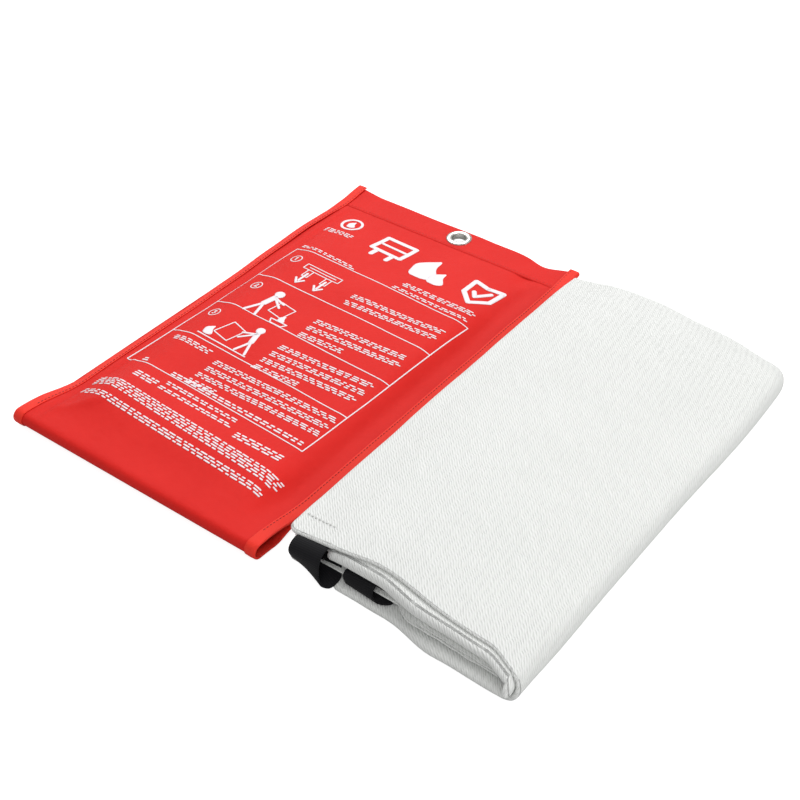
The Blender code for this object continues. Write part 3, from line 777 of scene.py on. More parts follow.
class Ink:
    """Collects printed shapes as thin patches that lie on the front cloth."""

    STEP = 2.0 * MM
    LIFT = 0.22 * MM

    def __init__(self, cloth):
        self.tree = BVHTree.FromObject(cloth, bpy.context.evaluated_depsgraph_get())
        self.points, self.flat, self.faces = [], [], []
        self.random = random.Random(4)

    def patch(self, pairs):
        """A patch between two edges. Each pair holds one (x, y) place on each edge."""
        cells = max(1, math.ceil(max(math.dist(a, b) for a, b in pairs) / self.STEP))
        base = len(self.points)
        for a, b in pairs:
            for k in range(cells + 1):
                x, y = on_cloth(mix(a[0], b[0], k / cells), mix(a[1], b[1], k / cells))
                hit = self.tree.ray_cast(Vector((x, y, 0.1)), Vector((0, 0, -1)))[0]
                self.points.append((x, y, hit.z + self.LIFT))
                self.flat.append((x, y))
        (ax, ay), (bx, by) = pairs[0]
        cx, cy = pairs[1][0]
        order = 1 if (bx - ax) * (cy - ay) > (by - ay) * (cx - ax) else -1
        for row in range(len(pairs) - 1):
            for k in range(cells):
                p = base + row * (cells + 1) + k
                self.faces.append((p, p + 1, p + cells + 2, p + cells + 1)[::order])

    def stroke(self, a, b, width=LINE):
        """A straight stroke with rounded ends."""
        length = math.dist(a, b)
        dx, dy = (b[0] - a[0]) / length, (b[1] - a[1]) / length
        half = width / 2
        ends = [(half * math.cos(t), half * math.sin(t)) for t in (0.25, 0.7, 1.15, math.pi / 2)]
        profile = [(-d, w) for d, w in ends]
        profile += [(d, half) for d in spaced(0, length, max(1, round(length / self.STEP)))[1:-1]]
        profile += [(length + d, w) for d, w in reversed(ends)]
        self.patch([((a[0] + dx * d - dy * w, a[1] + dy * d + dx * w),
                     (a[0] + dx * d + dy * w, a[1] + dy * d - dx * w)) for d, w in profile])

    def strokes(self, places, width=LINE, closed=False):
        """Strokes from place to place."""
        following = places[1:] + (places[:1] if closed else [])
        for a, b in zip(places, following):
            self.stroke(a, b, width)

    def ring(self, centre, radius, width=LINE):
        edges = (radius - width / 2, radius + width / 2)
        self.patch([[(centre[0] + r * math.cos(t), centre[1] + r * math.sin(t)) for r in edges]
                    for t in spaced(0, 2 * math.pi, 28)])

    def outline(self, centre, height, half_width, sway=lambda t: 0.0):
        """A filled shape from its foot (t = 0) to its tip (t = 1)."""
        pairs = []
        for t in spaced(0.02, 0.98, max(8, round(height / (1.2 * MM)))):
            y = centre[1] + height * (t - 0.5)
            x = centre[0] + sway(t)
            pairs.append(((x - half_width(t), y), (x + half_width(t), y)))
        self.patch(pairs)

    def disc(self, centre, radius):
        self.outline(centre, 2 * radius, lambda t: radius * math.sqrt(max(0.01, 1 - (2 * t - 1) ** 2)))

    def flame(self, centre, height):
        """A plain flame: round foot, drawn-out leaning tip."""
        def half_width(t):
            return 0.36 * height * math.sin(math.pi * t ** 0.55) ** 0.9 + 0.1 * MM
        self.outline(centre, height, half_width, lambda t: 0.07 * height * math.sin(2.4 * math.pi * t))

    def print_line(self, left, right, y, height, tilt=0.0):
        """Stands for a line of print: broken strokes, stacked in rows, with no letter among them."""
        rows = max(2, round(height / (2.3 * MM)))
        width = height / (1.8 * rows)
        for row in range(rows):
            level = y + height * ((row + 0.5) / rows - 0.5)
            x = left + self.random.uniform(0, 2 * MM)
            while x < right - 1.5 * MM:
                length = min(self.random.uniform(1.6, 5.5) * MM, right - x)
                low, high = level + tilt * (x - left), level + tilt * (x + length - left)
                self.stroke((x, low), (x + length, high), width)
                x += length + self.random.uniform(1.9, 3.6) * MM

    def figure(self, foot, height, tilt=0.0, arms=()):
        """A plain stick figure: a disc for the head, strokes for the rest."""
        x, y = foot
        hip = (x + 0.3 * tilt, y + 0.45 * height)
        neck = (x + tilt, y + 0.76 * height)
        self.disc((x + 1.2 * tilt, y + 0.9 * height), 0.12 * height)
        self.stroke(hip, neck, 0.15 * height)
        for side in (-1, 1):
            self.stroke(hip, (x + side * 0.16 * height, y), 0.07 * height)
        for hand in arms:
            self.stroke(neck, hand, 0.06 * height)

    def finish(self, name, material):
        piece = make_piece(name, self.points, self.faces, self.flat, material, "pouch")
        film = piece.modifiers.new("Ink film", "SOLIDIFY")
        film.thickness = 0.12 * MM
        film.offset = 0.0
        film.use_even_offset = False


def around(x, y, scale=1.0):
    """A function that gives places in millimetres from (x, y)."""
    return lambda dx, dy: (x + dx * scale * MM, y + dy * scale * MM)


def print_frame(ink):
    """A frame with four rows."""
    corners = [(FRAME_LEFT, FRAME_TOP), (FRAME_RIGHT, FRAME_TOP), (FRAME_RIGHT, FRAME_LOW),
               (FRAME_LEFT, FRAME_LOW)]
    ink.strokes(corners, closed=True)
    for row in (1, 2, 3):
        y = FRAME_TOP - row * ROW
        ink.stroke((FRAME_LEFT, y), (FRAME_RIGHT, y))


def print_row_numbers(ink):
    """The numbers 1 to 3 in rings, one at the start of each row with an icon."""
    numerals = {1: [(0, -1.8), (0, 1.8), (-0.8, 1.2)],
                2: [(-1.1, 1.0), (0, 1.8), (1.1, 1.0), (-1.1, -1.7), (1.2, -1.7)],
                3: [(-1.1, 1.7), (1.0, 1.7), (0, 0.4), (1.1, -0.8), (0, -1.8), (-1.1, -1.4)]}
    for row, shape in numerals.items():
        at = around(FRAME_LEFT + 0.0135, FRAME_TOP - (row - 1) * ROW - 0.0155, 1.15)
        ink.ring(at(0, 0), 4.8 * MM)
        ink.strokes([at(*corner) for corner in shape], 1.0 * MM)


def print_pull_icon(ink, at):
    """The pouch with its two tabs being pulled down."""
    ink.strokes([at(-20, 8), at(20, 8), at(20, 15), at(-20, 15)], closed=True)
    ink.stroke(at(-15, 11.5), at(15, 11.5))
    for side in (-1, 1):
        middle = side * 10.5
        ink.strokes([at(middle - 3, 7), at(middle - 3, -2), at(middle + 3, -2), at(middle + 3, 7)], 1.0 * MM)
        ink.stroke(at(middle, 3), at(middle, -9), 2.2 * MM)
        ink.strokes([at(middle - 4.5, -7), at(middle, -13), at(middle + 4.5, -7)], 2.0 * MM)


def print_cover_icon(ink, at):
    """A figure that holds the blanket in front, above a pan with a flame."""
    ink.figure(at(-10, -18), 36 * MM, 2.5 * MM, (at(6, 8), at(6, 2)))
    ink.strokes([at(3, 10), at(21, 7), at(18, -9), at(1, -6)], 1.0 * MM, closed=True)
    ink.flame(at(20, -9), 9 * MM)
    ink.strokes([at(11, -13), at(14, -18), at(26, -18), at(29, -13)], 1.2 * MM, closed=True)


def print_wrap_icon(ink, at):
    """A figure that lays the blanket over a fire on the ground."""
    ink.figure(at(16, -14), 32 * MM, -4.0 * MM, (at(0, 7), at(1, 0)))
    ink.strokes([at(1, 9), at(-15, 13), at(-20, -7), at(-3, -10)], 1.0 * MM, closed=True)
    ink.flame(at(-24, -8), 12 * MM)
    ink.stroke(at(-30, -16), at(24, -16), 1.2 * MM)


def print_rows(ink):
    """An icon and lines in each of the upper rows, and lines in the lowest."""
    text_left = POUCH_MIDDLE - 0.012
    text_right = POUCH_MIDDLE + 0.074
    icons = ((print_pull_icon, -51, 255.5), (print_cover_icon, -52, 207), (print_wrap_icon, -46, 161.5))
    for row, (icon, place, level) in enumerate(icons):
        icon(ink, around(POUCH_MIDDLE + place * MM, MOUTH_END + level * MM, 0.92))
        lines = row + 2
        for k in range(lines):
            y = MOUTH_END + (level - 3.5) * MM + 9.7 * MM * ((lines - 1) / 2 - k)
            short = 0.045 if k == lines - 1 and row else 0.0
            ink.print_line(text_left, text_right - short, y, 6.2 * MM, 0.09)
    top = FRAME_TOP - 3 * ROW
    ink.print_line(FRAME_LEFT + 0.011, FRAME_LEFT + 0.050, top - 8.5 * MM, 6.2 * MM)
    for k in range(4):
        right = FRAME_RIGHT - (0.092 if k == 3 else 0.003)
        ink.print_line(FRAME_LEFT + 0.060, right, top - (14.5 + 9.3 * k) * MM, 6.0 * MM, 0.056)
    note = FRAME_LOW + 4.5 * MM
    ink.print_line(FRAME_LEFT + 0.014, FRAME_LEFT + 0.020, note, 5.2 * MM)
    ink.print_line(FRAME_LEFT + 0.046, FRAME_RIGHT - 0.003, note - 1.5 * MM, 5.2 * MM, 0.02)


def print_heading(ink):
    """Three plain marks in place of the title: a blanket with its tabs, a flame, and a shield."""
    blanket = around(POUCH_MIDDLE - 0.0356, MOUTH_END + 0.3350, 1.15)
    corners = [blanket(x, y) for x, y in ((-13, -7), (13, -7), (13, 13), (-13, 13))]
    ink.strokes(corners, 4.2 * MM, closed=True)
    ink.stroke(blanket(-11, 3), blanket(11, 3), 3.0 * MM)
    for side in (-1, 1):
        ink.stroke(blanket(side * 7, -8), blanket(side * 7, -15), 4.6 * MM)
    flame = around(POUCH_MIDDLE + 0.0100, MOUTH_END + 0.3310, 1.15)
    ink.flame(flame(-4, 0), 35 * MM)
    ink.flame(flame(10, -6), 21 * MM)
    shield = around(POUCH_MIDDLE + 0.0610, MOUTH_END + 0.3290, 1.15)
    corners = [shield(x, y) for x, y in ((-12, 12), (0, 9.5), (12, 12), (11, -4), (0, -14), (-11, -4))]
    ink.strokes(corners, 4.4 * MM, closed=True)
    ink.strokes([shield(-5, 0), shield(-1, -5), shield(6, 5)], 4.0 * MM)


def print_small_lines(ink):
    """The lines above and below the frame. Each is (left, right, height above the mouth, size, tilt)."""
    lines = ((7, 77, 297.5, 6.4, 0.055), (3, 78, 289.0, 4.2, 0.03), (-97, -37, 291.5, 4.4, -0.05),
             (-71, -49, 80.5, 8.0, 0.0), (-45, 28, 87, 4.8, 0.01), (-45, 28, 79.5, 4.8, 0.01),
             (35, 77, 75.5, 8.0, 0.07), (-94, 94, 61.5, 11.5, -0.018), (-90, 91, 45.5, 6.6, -0.004))
    for left, right, level, height, tilt in lines:
        start, end = POUCH_MIDDLE + left * MM, POUCH_MIDDLE + right * MM
        ink.print_line(start, end, MOUTH_END + level * MM, height * MM, tilt)
    badge = (POUCH_MIDDLE - 0.088, MOUTH_END + 0.3450)
    ink.ring(badge, 9.0 * MM, 2.4 * MM)
    ink.flame(badge, 11.0 * MM)
    ink.print_line(badge[0] - 0.015, badge[0] + 0.015, badge[1] - 0.0185, 7.0 * MM)


def build_print(cloth, material):
    """Everything printed on the pouch."""
    ink = Ink(cloth)
    print_frame(ink)
    print_row_numbers(ink)
    print_rows(ink)
    print_heading(ink)
    print_small_lines(ink)
    ink.finish("pouch_print", material)


# ---- blanket ----

FULL = BLANKET_TOP - 0.3 * MM
SPAN = BLANKET_RIGHT - BLANKET_LEFT
FOLD_TURN = 9.0 * MM                # where the cloth starts to turn under, in from the right side
CORNER = 7.5 * MM                   # radius of the rolls' left near corners
TABS_END = right_tab_high.x
LEFT_TAB_END = left_tab_high.x
RIGHT_END = BLANKET_RIGHT - 0.031


def thickness(x, y):
    """Height of the folded stack: crowned, and lower towards the folded side and both ends."""
    across = (x - BLANKET_LEFT) / SPAN
    height = FULL * (0.86 + 0.14 * ease(across / 0.22)) - 9.5 * MM * ease((across - 0.40) / 0.55)
    far = 1 - ease((BLANKET_FAR - y) / 0.030)
    close = 1 - ease((y - STACK_NEAR) / 0.030)
    dip = 1.2 * MM * hump(x, BLANKET_LEFT + 0.016, 0.02) * hump(y, STACK_NEAR + 0.03, 0.03)
    waves = 1.3 * MM * ripple(x, y, 0.065, 37.0) + 0.3 * MM * ripple(x, y, 0.020, 39.0)
    return height - 2.4 * MM * far - 1.2 * MM * close - dip + waves


def turn_x(y):
    """Where the cloth starts to turn under on the right; the far corner is rounded."""
    belly = 2.6 * MM * hump(y, BLANKET_FAR - 0.080, 0.070)
    corner = 4.5 * MM * ease((y - BLANKET_FAR + 0.020) / 0.020) ** 1.5
    return BLANKET_RIGHT - FOLD_TURN + belly - corner + 0.6 * MM * ripple(0, y, 0.06, 41.0)


def wrap_stations():
    """Where the rolls are drawn, as (share of the way across, angle): over, round the right side, below."""
    close_up = [0.0, 0.002, 0.006]
    over = [(u, math.pi / 2) for u in close_up + spaced(0.012, 1, 72)]
    round_side = [(1.0, a) for a in turns(90, -90, 18)[1:-1]]
    below = [(u, -math.pi / 2) for u in spaced(1, 0.012, 40) + close_up[::-1]]
    return over + round_side + below


def wrap_point(across, angle, y, share, left):
    """A point of the stack. share is 1 on its outside and 0.5 at its middle."""
    x = mix(left, turn_x(y), across)
    half = thickness(x, y) / 2
    reach = half * (2 * share - 1)
    return (x + reach * math.cos(angle), y, half + reach * math.sin(angle))


def end_scale(distance, radius, least):
    """How thick a layer still is at a distance from its rounded end."""
    return math.sqrt(max(least, 1 - max(0.0, 1 - distance / radius) ** 2))


def slab_loop(low, high, rows, inner, outer, point, scale=1.0):
    """One closed loop of a layer with rounded near and far edges. inner(y) and outer(y) give its shares,
    point(y, share) places it, and scale makes it thinner about its middle."""
    def level(y, up):
        middle, half = (inner(y) + outer(y)) / 2, (outer(y) - inner(y)) / 2
        return middle + up * half * scale

    def rounded(middle, reach, end, first, last):
        return [point(middle + reach * math.cos(t), level(end, math.sin(t)))
                for t in turns(first, last, 8)[1:-1]]

    low_radius = (outer(low) - inner(low)) / 2 * FULL
    high_radius = (outer(high) - inner(high)) / 2 * FULL
    near, far = low + low_radius, high - high_radius
    loop = [point(y, level(y, 1)) for y in spaced(near, far, rows)]
    loop += rounded(far, high_radius, high, 90, -90)
    loop += [point(y, level(y, -1)) for y in spaced(far, near, rows)]
    loop += rounded(near, -low_radius, low, -90, 90)
    return loop


def rolled_layer(name, material, shares, near_edge, far_edge, left, inwards, outwards):
    """One roll of cloth that wraps the stack. shares(x, turned) gives its (inner, outer) shares, and
    near_edge and far_edge the y of its rounded ends. turned runs from 0 on top to 1 below. inwards and
    outwards thicken it."""
    loops, lengths = [], []
    along, rows = 0.0, 88
    for across, angle in wrap_stations():
        turned = 0.5 - angle / math.pi
        x = BLANKET_RIGHT if 0 < turned < 1 else mix(BLANKET_LEFT, BLANKET_RIGHT - FOLD_TURN, across)
        inner, outer = shares(x, turned)
        loop = slab_loop(near_edge(x, turned), far_edge(x, turned), rows,
                         lambda y: inner - inwards(x, turned, y), lambda y: outer + outwards(x, turned, y),
                         lambda y, share: wrap_point(across, angle, y, share, left),
                         end_scale(across * SPAN, (outer - inner) / 2 * FULL, 0.02))
        if loops:
            along += math.dist(loop[rows // 2], loops[-1][rows // 2])
        loops.append(loop)
        lengths.append(along)
    piece = swept(name, loops, material, None, lengths)
    set_sheet_uv(piece, loops, lengths)
    return piece


def set_sheet_uv(piece, loops, lengths):
    """UVs that run with the cloth: along the sweep, and round the section from its near edge."""
    size = len(loops[0])
    girths = []
    for loop in loops:
        girth = [loop[0][1]]
        for a, b in zip(loop, loop[1:]):
            girth.append(girth[-1] + math.dist(a, b))
        girths.append(girth)
    layer = piece.data.uv_layers["cloth"]
    for loop in piece.data.loops:
        row, k = divmod(loop.vertex_index, size)
        layer.data[loop.index].uv = (lengths[row], girths[row][k])


def rounded_corner(x):
    """How far the near edge is set back at the stack's left corner."""
    across = min(1.0, (x - BLANKET_LEFT) / CORNER)
    return CORNER * (1 - math.sqrt(max(0.0, 1 - (1 - across) ** 2)))


def outer_near(x, turned):
    """Near edge of the outer roll: set back on top, reaching further out below and round the right end."""
    back = 5.5 * MM * hump(x, TABS_END + 0.003, 0.028)
    top = STACK_NEAR + back - 9.5 * MM * ease((x - RIGHT_END) / 0.030) + 0.5 * MM * ripple(x, 0, 0.03, 43.0)
    tucked = 8.0 * MM * (1 - ease((x - TABS_END - 0.009) / 0.046))
    tucked += 5.0 * MM * (1 - ease((x - LEFT_TAB_END) / 0.012))
    bottom = BLANKET_NEAR + tucked + 0.8 * MM * ripple(x, 0, 0.03, 45.0)
    return mix(top, bottom, ease(turned * 1.3)) + rounded_corner(x)


def outer_far(x, turned):
    """Far edge of the outer roll, which bulges out near both corners."""
    out = 5.0 * MM * (hump(x, BLANKET_LEFT + 0.060, 0.045) + hump(x, BLANKET_RIGHT - 0.040, 0.030))
    return BLANKET_FAR - 2.0 * MM + out - 3.5 * MM * ease((x - BLANKET_RIGHT + 0.060) / 0.05)


def outer_shares(x, turned):
    below = mix(0.80, 0.70, ease((x - TABS_END - 0.013) / 0.033))
    return mix(0.865, below, turned), 1.0


def second_near(x, turned):
    """Near edge of the second roll: free of the left tab, then further out than the outer roll."""
    tab_room = 8.5 * MM * (1 - ease((x - LEFT_TAB_END + 4.0 * MM) / (3 * MM)))
    out = 5.5 * MM * ease((x - TABS_END) / 0.035) + 9.0 * MM * ease((x - RIGHT_END) / 0.030)
    top = STACK_NEAR - 2.0 * MM + tab_room - out + 0.5 * MM * ripple(x, 0, 0.03, 53.0)
    bottom = STACK_NEAR - 16.0 * MM * ease((x - RIGHT_END - 0.010) / 0.020)
    round_end = 5 * MM * math.sin(math.pi * min(1.0, turned * 1.4))
    return mix(top, bottom, ease((turned - 0.55) / 0.45)) - round_end + rounded_corner(x)


def second_far(x, turned):
    return outer_far(x, turned) - 2.0 * MM


def near_fold(edge, y):
    """1 at a layer's near edge, fading to 0 further in."""
    return 1 - ease((y - edge - 0.003) / 0.012)


def second_swell(x, turned, y):
    """The second fold's near edge is puffed up downwards, except behind the left tab."""
    beside = ease((x - LEFT_TAB_END + 4.0 * MM) / (3 * MM))
    return 0.100 * beside * (1 - turned) * near_fold(second_near(x, turned), y)


def hem_room(x, turned, y):
    """The outer roll's hem is thinner than its folded inside. The second roll fills the room below it."""
    beside = ease((x - LEFT_TAB_END) / (3 * MM))
    return 0.045 * beside * (1 - turned) * near_fold(outer_near(x, turned), y)


def hem_thinning(x, turned, y):
    """The outer roll gives way to the second one at its hem."""
    return -hem_room(x, turned, y)


def no_change(x, turned, y):
    return 0.0


def second_shares(x, turned):
    above = mix(0.815, 0.858, ease((x - LEFT_TAB_END - 0.004) / 0.010))
    return mix(0.665, 0.64, turned), mix(above, 0.695, turned)


def build_rolls(material):
    """The two outer rolls."""
    outer = rolled_layer("blanket_outer_roll", material, outer_shares, outer_near, outer_far,
                         BLANKET_LEFT + 0.3 * MM, hem_thinning, no_change)
    second = rolled_layer("blanket_second_roll", material, second_shares, second_near, second_far,
                          BLANKET_LEFT + 1.2 * MM, second_swell, hem_room)
    stands_for(outer, "glass_cloth", "blanket_outer_sheet_lower", "blanket_outer_sheet_upper")
    stands_for(second, "glass_cloth")
    for piece in (outer, second):
        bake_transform(piece)


def leaf(name, material, body, low_share, high_share, beside_tabs, beyond, start, seed):
    """A folded leaf inside the rolls: a flat slab with rounded edges and a wavy near end, which lies
    beside_tabs millimetres in from the stack's end next to the tabs and beyond millimetres further right."""
    radius = (high_share - low_share) / 2 * FULL
    left, right = BLANKET_LEFT + 1.6 * MM, BLANKET_RIGHT - 17 * MM
    reach = [0.0, 0.1, 0.35, 0.7, 1.0]
    across = [left + radius * d for d in reach] + spaced(left + 2 * radius, right - 2 * radius, 70)
    across += [right - radius * d for d in reversed(reach)]
    loops = []
    for x in across:
        edge = STACK_NEAR + mix(beside_tabs, beyond, ease((x - TABS_END - start) / 0.030)) * MM
        low = edge + 0.8 * MM * ripple(x, 0, 0.010, seed)
        sway = 0.02 * ripple(x, 0, 0.014, seed + 1)

        def point(y, share):
            return (x, y, thickness(x, y) * (share + sway * (1 - ease((y - low) / 0.01))))
        scale = end_scale(min(x - left, right - x), radius, 0.03)
        loops.append(slab_loop(low, BLANKET_FAR - 6 * MM, 40, lambda y: low_share, lambda y: high_share,
                               point, scale))
    piece = swept(name, loops, material, body, across)
    set_sheet_uv(piece, loops, across)
    return piece


def build_leaves(materials):
    """The folded inner leaves: two in the upper half and two in the lower, set back behind the tabs."""
    leaves = (("upper_outer", "upper", 0.590, 0.655, 20.0, 17.0, 0.018, 61.0),
              ("upper_inner", "upper", 0.512, 0.552, 6.0, -8.5, 0.010, 67.0),
              ("lower_inner", "lower", 0.440, 0.485, 5.8, -9.5, 0.003, 71.0),
              ("lower_outer", "lower", 0.375, 0.418, 5.8, -8.0, 0.003, 73.0))
    for name, half, *shape in leaves:
        piece = leaf(f"blanket_leaf_{name}", materials["glass"], f"blanket_{half}", *shape)
        stands_for(piece, "glass_cloth", *([f"blanket_leaves_{half}"] if name.endswith("inner") else []))
    y = STACK_NEAR + 12 * MM
    path = straight_path((TABS_END + 4 * MM, y), (BLANKET_RIGHT - 0.024, y),
                         lambda x, y: thickness(x, y) * 0.485)
    stitch_row("blanket_hem_stitches", path, materials["glass_thread"], "blanket_lower", "glass_thread",
               "blanket_hem_thread", THIN_THREAD)


# ---- pull tabs ----

WEBBING = 1.2 * MM


def curve_through(places, share):
    """A point on a smooth curve through places, share running from 0 to 1."""
    last = len(places) - 1
    k = min(int(share * last), last - 1)
    t = share * last - k
    a, b = places[max(k - 1, 0)], places[k]
    c, d = places[k + 1], places[min(k + 2, last)]
    return Vector([0.5 * (2 * q + (r - p) * t + (2 * p - 5 * q + 4 * r - s) * t * t
                          + (3 * q - p - 3 * r + s) * t ** 3) for p, q, r, s in zip(a, b, c, d)])


def strap(name, left_edge, right_edge, material, steps, body, node):
    """Webbing between two edges, each a list of (x, y, z) places that its side runs through."""
    half = WEBBING / 2
    bevel = [math.radians(a) for a in (60, 20, -20, -60)]
    section = [(u, 1.0, 0.0) for u in spaced(0, 1, 10)]
    section += [(1, math.sin(a), math.cos(a)) for a in bevel]
    section += [(u, -1.0, 0.0) for u in spaced(1, 0, 10)]
    section += [(0, -math.sin(a), -math.cos(a)) for a in bevel]
    loops, lengths = [], []
    length, before = 0.0, None
    for share in spaced(0, 1, steps):
        left, right = curve_through(left_edge, share), curve_through(right_edge, share)
        step_left, step_right = [curve_through(edge, min(1.0, share + 0.005))
                                 - curve_through(edge, max(0.0, share - 0.005))
                                 for edge in (left_edge, right_edge)]
        across = (right - left).normalized()
        loop = []
        for u, raised, outwards in section:
            up = across.cross(step_left.lerp(step_right, u)).normalized()
            loop.append(left.lerp(right, u) + up * half * raised + across * half * outwards)
        loops.append(loop)
        middle = left.lerp(right, 0.5)
        length += (middle - before).length if before else 0.0
        before = middle
        lengths.append(length)
    piece = swept(name, loops, material, body, lengths)
    stands_for(piece, "black_webbing", node)
    return piece


def edge_places(side_x, *places):
    """Places in millimetres, x from side_x, y from the stack's near end, z from the ground, as metres."""
    return [(side_x + x * MM, STACK_NEAR + y * MM, z * MM) for x, y, z in places]


def left_tab_edges():
    """The loop hangs askew: its lower turn swings to the right."""
    left = edge_places(left_tab_low.x, (0, 4.5, 21.2), (-0.4, -2.0, 22.4), (-0.4, -7.4, 20.2),
                       (-0.3, -9.3, 15.8), (1.5, -8.6, 11.3), (5, -7.0, 8.6), (8, -5.0, 7.2),
                       (10.5, -2.2, 6.8), (11, 0.8, 8.0), (9, 3.4, 10.5), (6, 6.0, 13.0), (4, 10.0, 14.2))
    right = edge_places(left_tab_high.x, (-1, 4.5, 24.0), (-1, -1.8, 24.9), (-1, -6.9, 22.6),
                        (-0.7, -10.2, 18.0), (-0.2, -11.4, 12.6), (0.8, -12.4, 8.3), (3.5, -12.6, 4.4),
                        (8, -10.8, 4.2), (10, -5.5, 5.6), (9, 0.0, 6.8), (5.5, 5.0, 11.5), (4, 10.0, 14.2))
    return left, right


def right_tab_edges():
    """The flatter loop of the lower half: it turns under at the inner leaves' edge."""
    left = edge_places(right_tab_low.x, (1, 4.4, 13.7), (1, -0.6, 14.2), (0.8, -2.2, 11.4), (1.8, -2.8, 8.6),
                       (3.5, -3.0, 7.0), (6.5, -2.2, 6.8), (10, -0.2, 6.8), (12, 2.0, 7.2), (10, 3.8, 8.6),
                       (5, 4.6, 10.6), (2, 4.6, 12.6))
    right = edge_places(right_tab_high.x, (-1, 4.4, 14.0), (-1, 0.6, 15.0), (-1, -2.4, 12.6),
                        (-0.3, -4.2, 9.4), (2.8, -4.6, 7.1), (6, -4.3, 6.8), (9.3, -2.4, 6.8),
                        (11.5, 0.5, 6.9), (9.5, 3.0, 8.2), (4.5, 4.2, 10.4), (0, 4.6, 12.8))
    return left, right


def build_tab(side, edges, half, material):
    """The loop, and the end that is sewn between the layers."""
    name = f"pull_tab_{side}"
    piece = strap(f"{name}_webbing", *edges, material, 70, None, f"{name}_loop")
    _, y, z = edges[0][0]
    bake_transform(piece)
    inner = []
    for x, y, z in (edge[0] for edge in edges):
        share = z / thickness(x, y)
        inner.append([(x, y + d * MM, share * thickness(x, y + d * MM)) for d in (0, 5, 10, 15, 19)])
    strap(f"{name}_sewn_webbing", *inner, material, 10, half, f"{name}_sewn_end")


def build_tabs(materials):
    """Both tabs, and the row of stitches that holds the left one to the top layer."""
    build_tab("left", left_tab_edges(), "blanket_upper", materials["webbing"])
    build_tab("right", right_tab_edges(), "blanket_lower", materials["webbing"])
    y = STACK_NEAR + 15.5 * MM
    path = straight_path((BLANKET_LEFT + 4 * MM, y + 2 * MM), (left_tab_high.x - 4 * MM, y), thickness)
    stitch_row("pull_tab_left_stitches", path, materials["glass_thread"], "blanket_upper", "glass_thread",
               "pull_tab_left_stitching", 0.75 * MM)


# ---- metal parts ----

def build_metal(material):
    """The eyelet and its washer keep their own solids, with the plating's finish."""
    for node in ("grommet_eyelet", "grommet_washer"):
        solid = frame["nodes"][node].data
        solid.materials.clear()
        solid.materials.append(material)


# ---- floor, light and camera ----

# The camera, solved from the outlines of the pouch and the blanket in the photo.
CAMERA_TARGET = Vector((-0.0057, -0.0151, 0.0039))
AZIMUTH = math.radians(36.8)
ELEVATION = math.radians(39.5)
CAMERA_DISTANCE = 1.022
LENS = 62.8
SENSOR_WIDTH = 36
FLOOR_SIZE = 12
FLOOR_GLOW = 0.82
SKY_LIGHT = 0.50                    # strength of the sky as light, and as the camera sees it
SKY_SEEN = 1.0


def build_stage():
    """A floor that is white to the camera and lights the set's undersides only weakly."""
    nodes = Nodes("white_floor")
    matt = nodes.add("ShaderNodeBsdfDiffuse", {"Color": colour(0.55, 0.55, 0.55)}).outputs[0]
    glow = nodes.add("ShaderNodeEmission", {"Color": colour(1, 1, 1), "Strength": FLOOR_GLOW}).outputs[0]
    seen = nodes.add("ShaderNodeLightPath").outputs["Is Camera Ray"]
    both = nodes.add("ShaderNodeAddShader", {0: matt, 1: glow}).outputs[0]
    choice = nodes.add("ShaderNodeMixShader", {0: seen, 1: matt, 2: both}).outputs[0]
    output = nodes.tree.nodes["Material Output"]
    nodes.tree.links.new(choice, output.inputs["Surface"])
    bpy.ops.mesh.primitive_plane_add(size=FLOOR_SIZE, location=(0, 0, 0))
    floor = bpy.context.object
    floor.name = "pale_floor"
    floor.data.materials.append(nodes.material)


def area_light(name, place, aim, size, power, tint=(1.0, 1.0, 1.0)):
    lamp = bpy.data.lights.new(name, "AREA")
    lamp.shape = "SQUARE"
    lamp.size = size
    lamp.energy = power
    lamp.color = tint
    holder = bpy.data.objects.new(name, lamp)
    holder.location = place
    holder.rotation_euler = (Vector(aim) - Vector(place)).to_track_quat("-Z", "Y").to_euler()
    bpy.context.scene.collection.objects.link(holder)


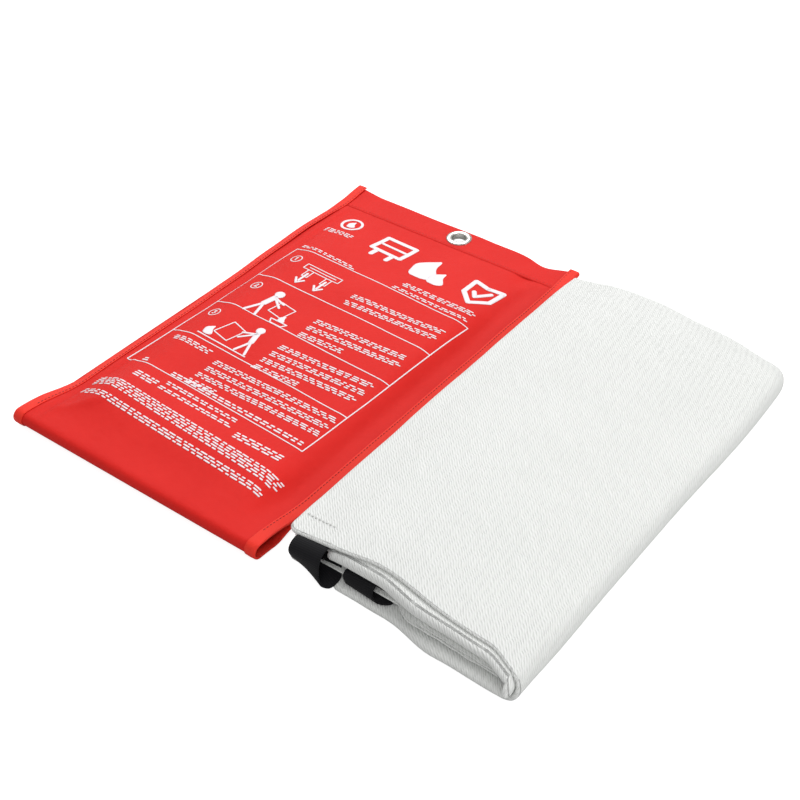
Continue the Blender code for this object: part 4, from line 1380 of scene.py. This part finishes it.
def build_light():
    world = bpy.data.worlds.new("studio")
    world.use_nodes = True
    tree = world.node_tree
    sky = tree.nodes["Background"]
    sky.inputs["Color"].default_value = colour(1.0, 1.0, 1.0)
    seen = tree.nodes.new("ShaderNodeLightPath").outputs["Is Camera Ray"]
    strength = tree.nodes.new("ShaderNodeMapRange")
    strength.inputs["To Min"].default_value = SKY_LIGHT
    strength.inputs["To Max"].default_value = SKY_SEEN
    tree.links.new(seen, strength.inputs["Value"])
    tree.links.new(strength.outputs[0], sky.inputs["Strength"])
    bpy.context.scene.world = world
    area_light("softbox_behind", (-1.1, 1.3, 1.9), (0, 0, 0), 1.3, 40)
    area_light("softbox_front", (0.9, -1.6, 1.7), (0, 0, 0), 1.4, 8)
    area_light("softbox_right", (1.9, 0.5, 1.0), (0, 0, 0), 1.2, 16)
    bpy.context.scene.view_settings.view_transform = "Standard"


def build_camera():
    """Looks down on the set's near right side."""
    back = Vector((math.sin(AZIMUTH) * math.cos(ELEVATION), -math.cos(AZIMUTH) * math.cos(ELEVATION),
                   math.sin(ELEVATION)))
    lens = bpy.data.cameras.new("camera")
    lens.lens = LENS
    lens.sensor_width = SENSOR_WIDTH
    camera = bpy.data.objects.new("camera", lens)
    camera.location = CAMERA_TARGET + back * CAMERA_DISTANCE
    camera.rotation_euler = (-back).to_track_quat("-Z", "Y").to_euler()
    bpy.context.scene.collection.objects.link(camera)
    bpy.context.scene.camera = camera


# ---- everything together ----

materials = {
    "red": red_cloth(),
    # A darker copy of the red cloth for the inner faces: painted shade.
    "red_inside": red_cloth("red_cloth_inside", 0.6),
    "tape": tape_cloth(),
    "dark_thread": sewing_thread("dark_red_thread", (0.45, 0.010, 0.010), (0.25, 0.005, 0.005)),
    "red_thread": sewing_thread("red_thread", (0.80, 0.035, 0.030), (0.50, 0.015, 0.012)),
    "glass_thread": sewing_thread("white_thread", (0.82, 0.82, 0.80), (0.55, 0.56, 0.55)),
    "ink": screen_ink(),
    "glass": glass_twill(),
    "webbing": webbing(),
    "loops": touch_fastener("loop_pile", 0.6 * MM),
    "hooks": touch_fastener("hook_pile", 0.9 * MM),
    "nickel": polished_nickel(),
}

front = build_front(materials)
build_flap(materials)
build_header(materials)
build_back(materials)
build_binding("left", POUCH_LEFT, 1, materials)
build_binding("right", POUCH_RIGHT, -1, materials)
build_pouch_seams(materials)
build_fastener("loop_strip_pile", "loop_strip", "pouch", materials["loops"])
build_fastener("hook_strip_pile", "hook_strip", "flap", materials["hooks"])
bpy.context.view_layer.update()
build_print(front, materials["ink"])
build_rolls(materials["glass"])
build_leaves(materials)
build_tabs(materials)
build_metal(materials["nickel"])
build_stage()
build_light()
build_camera()
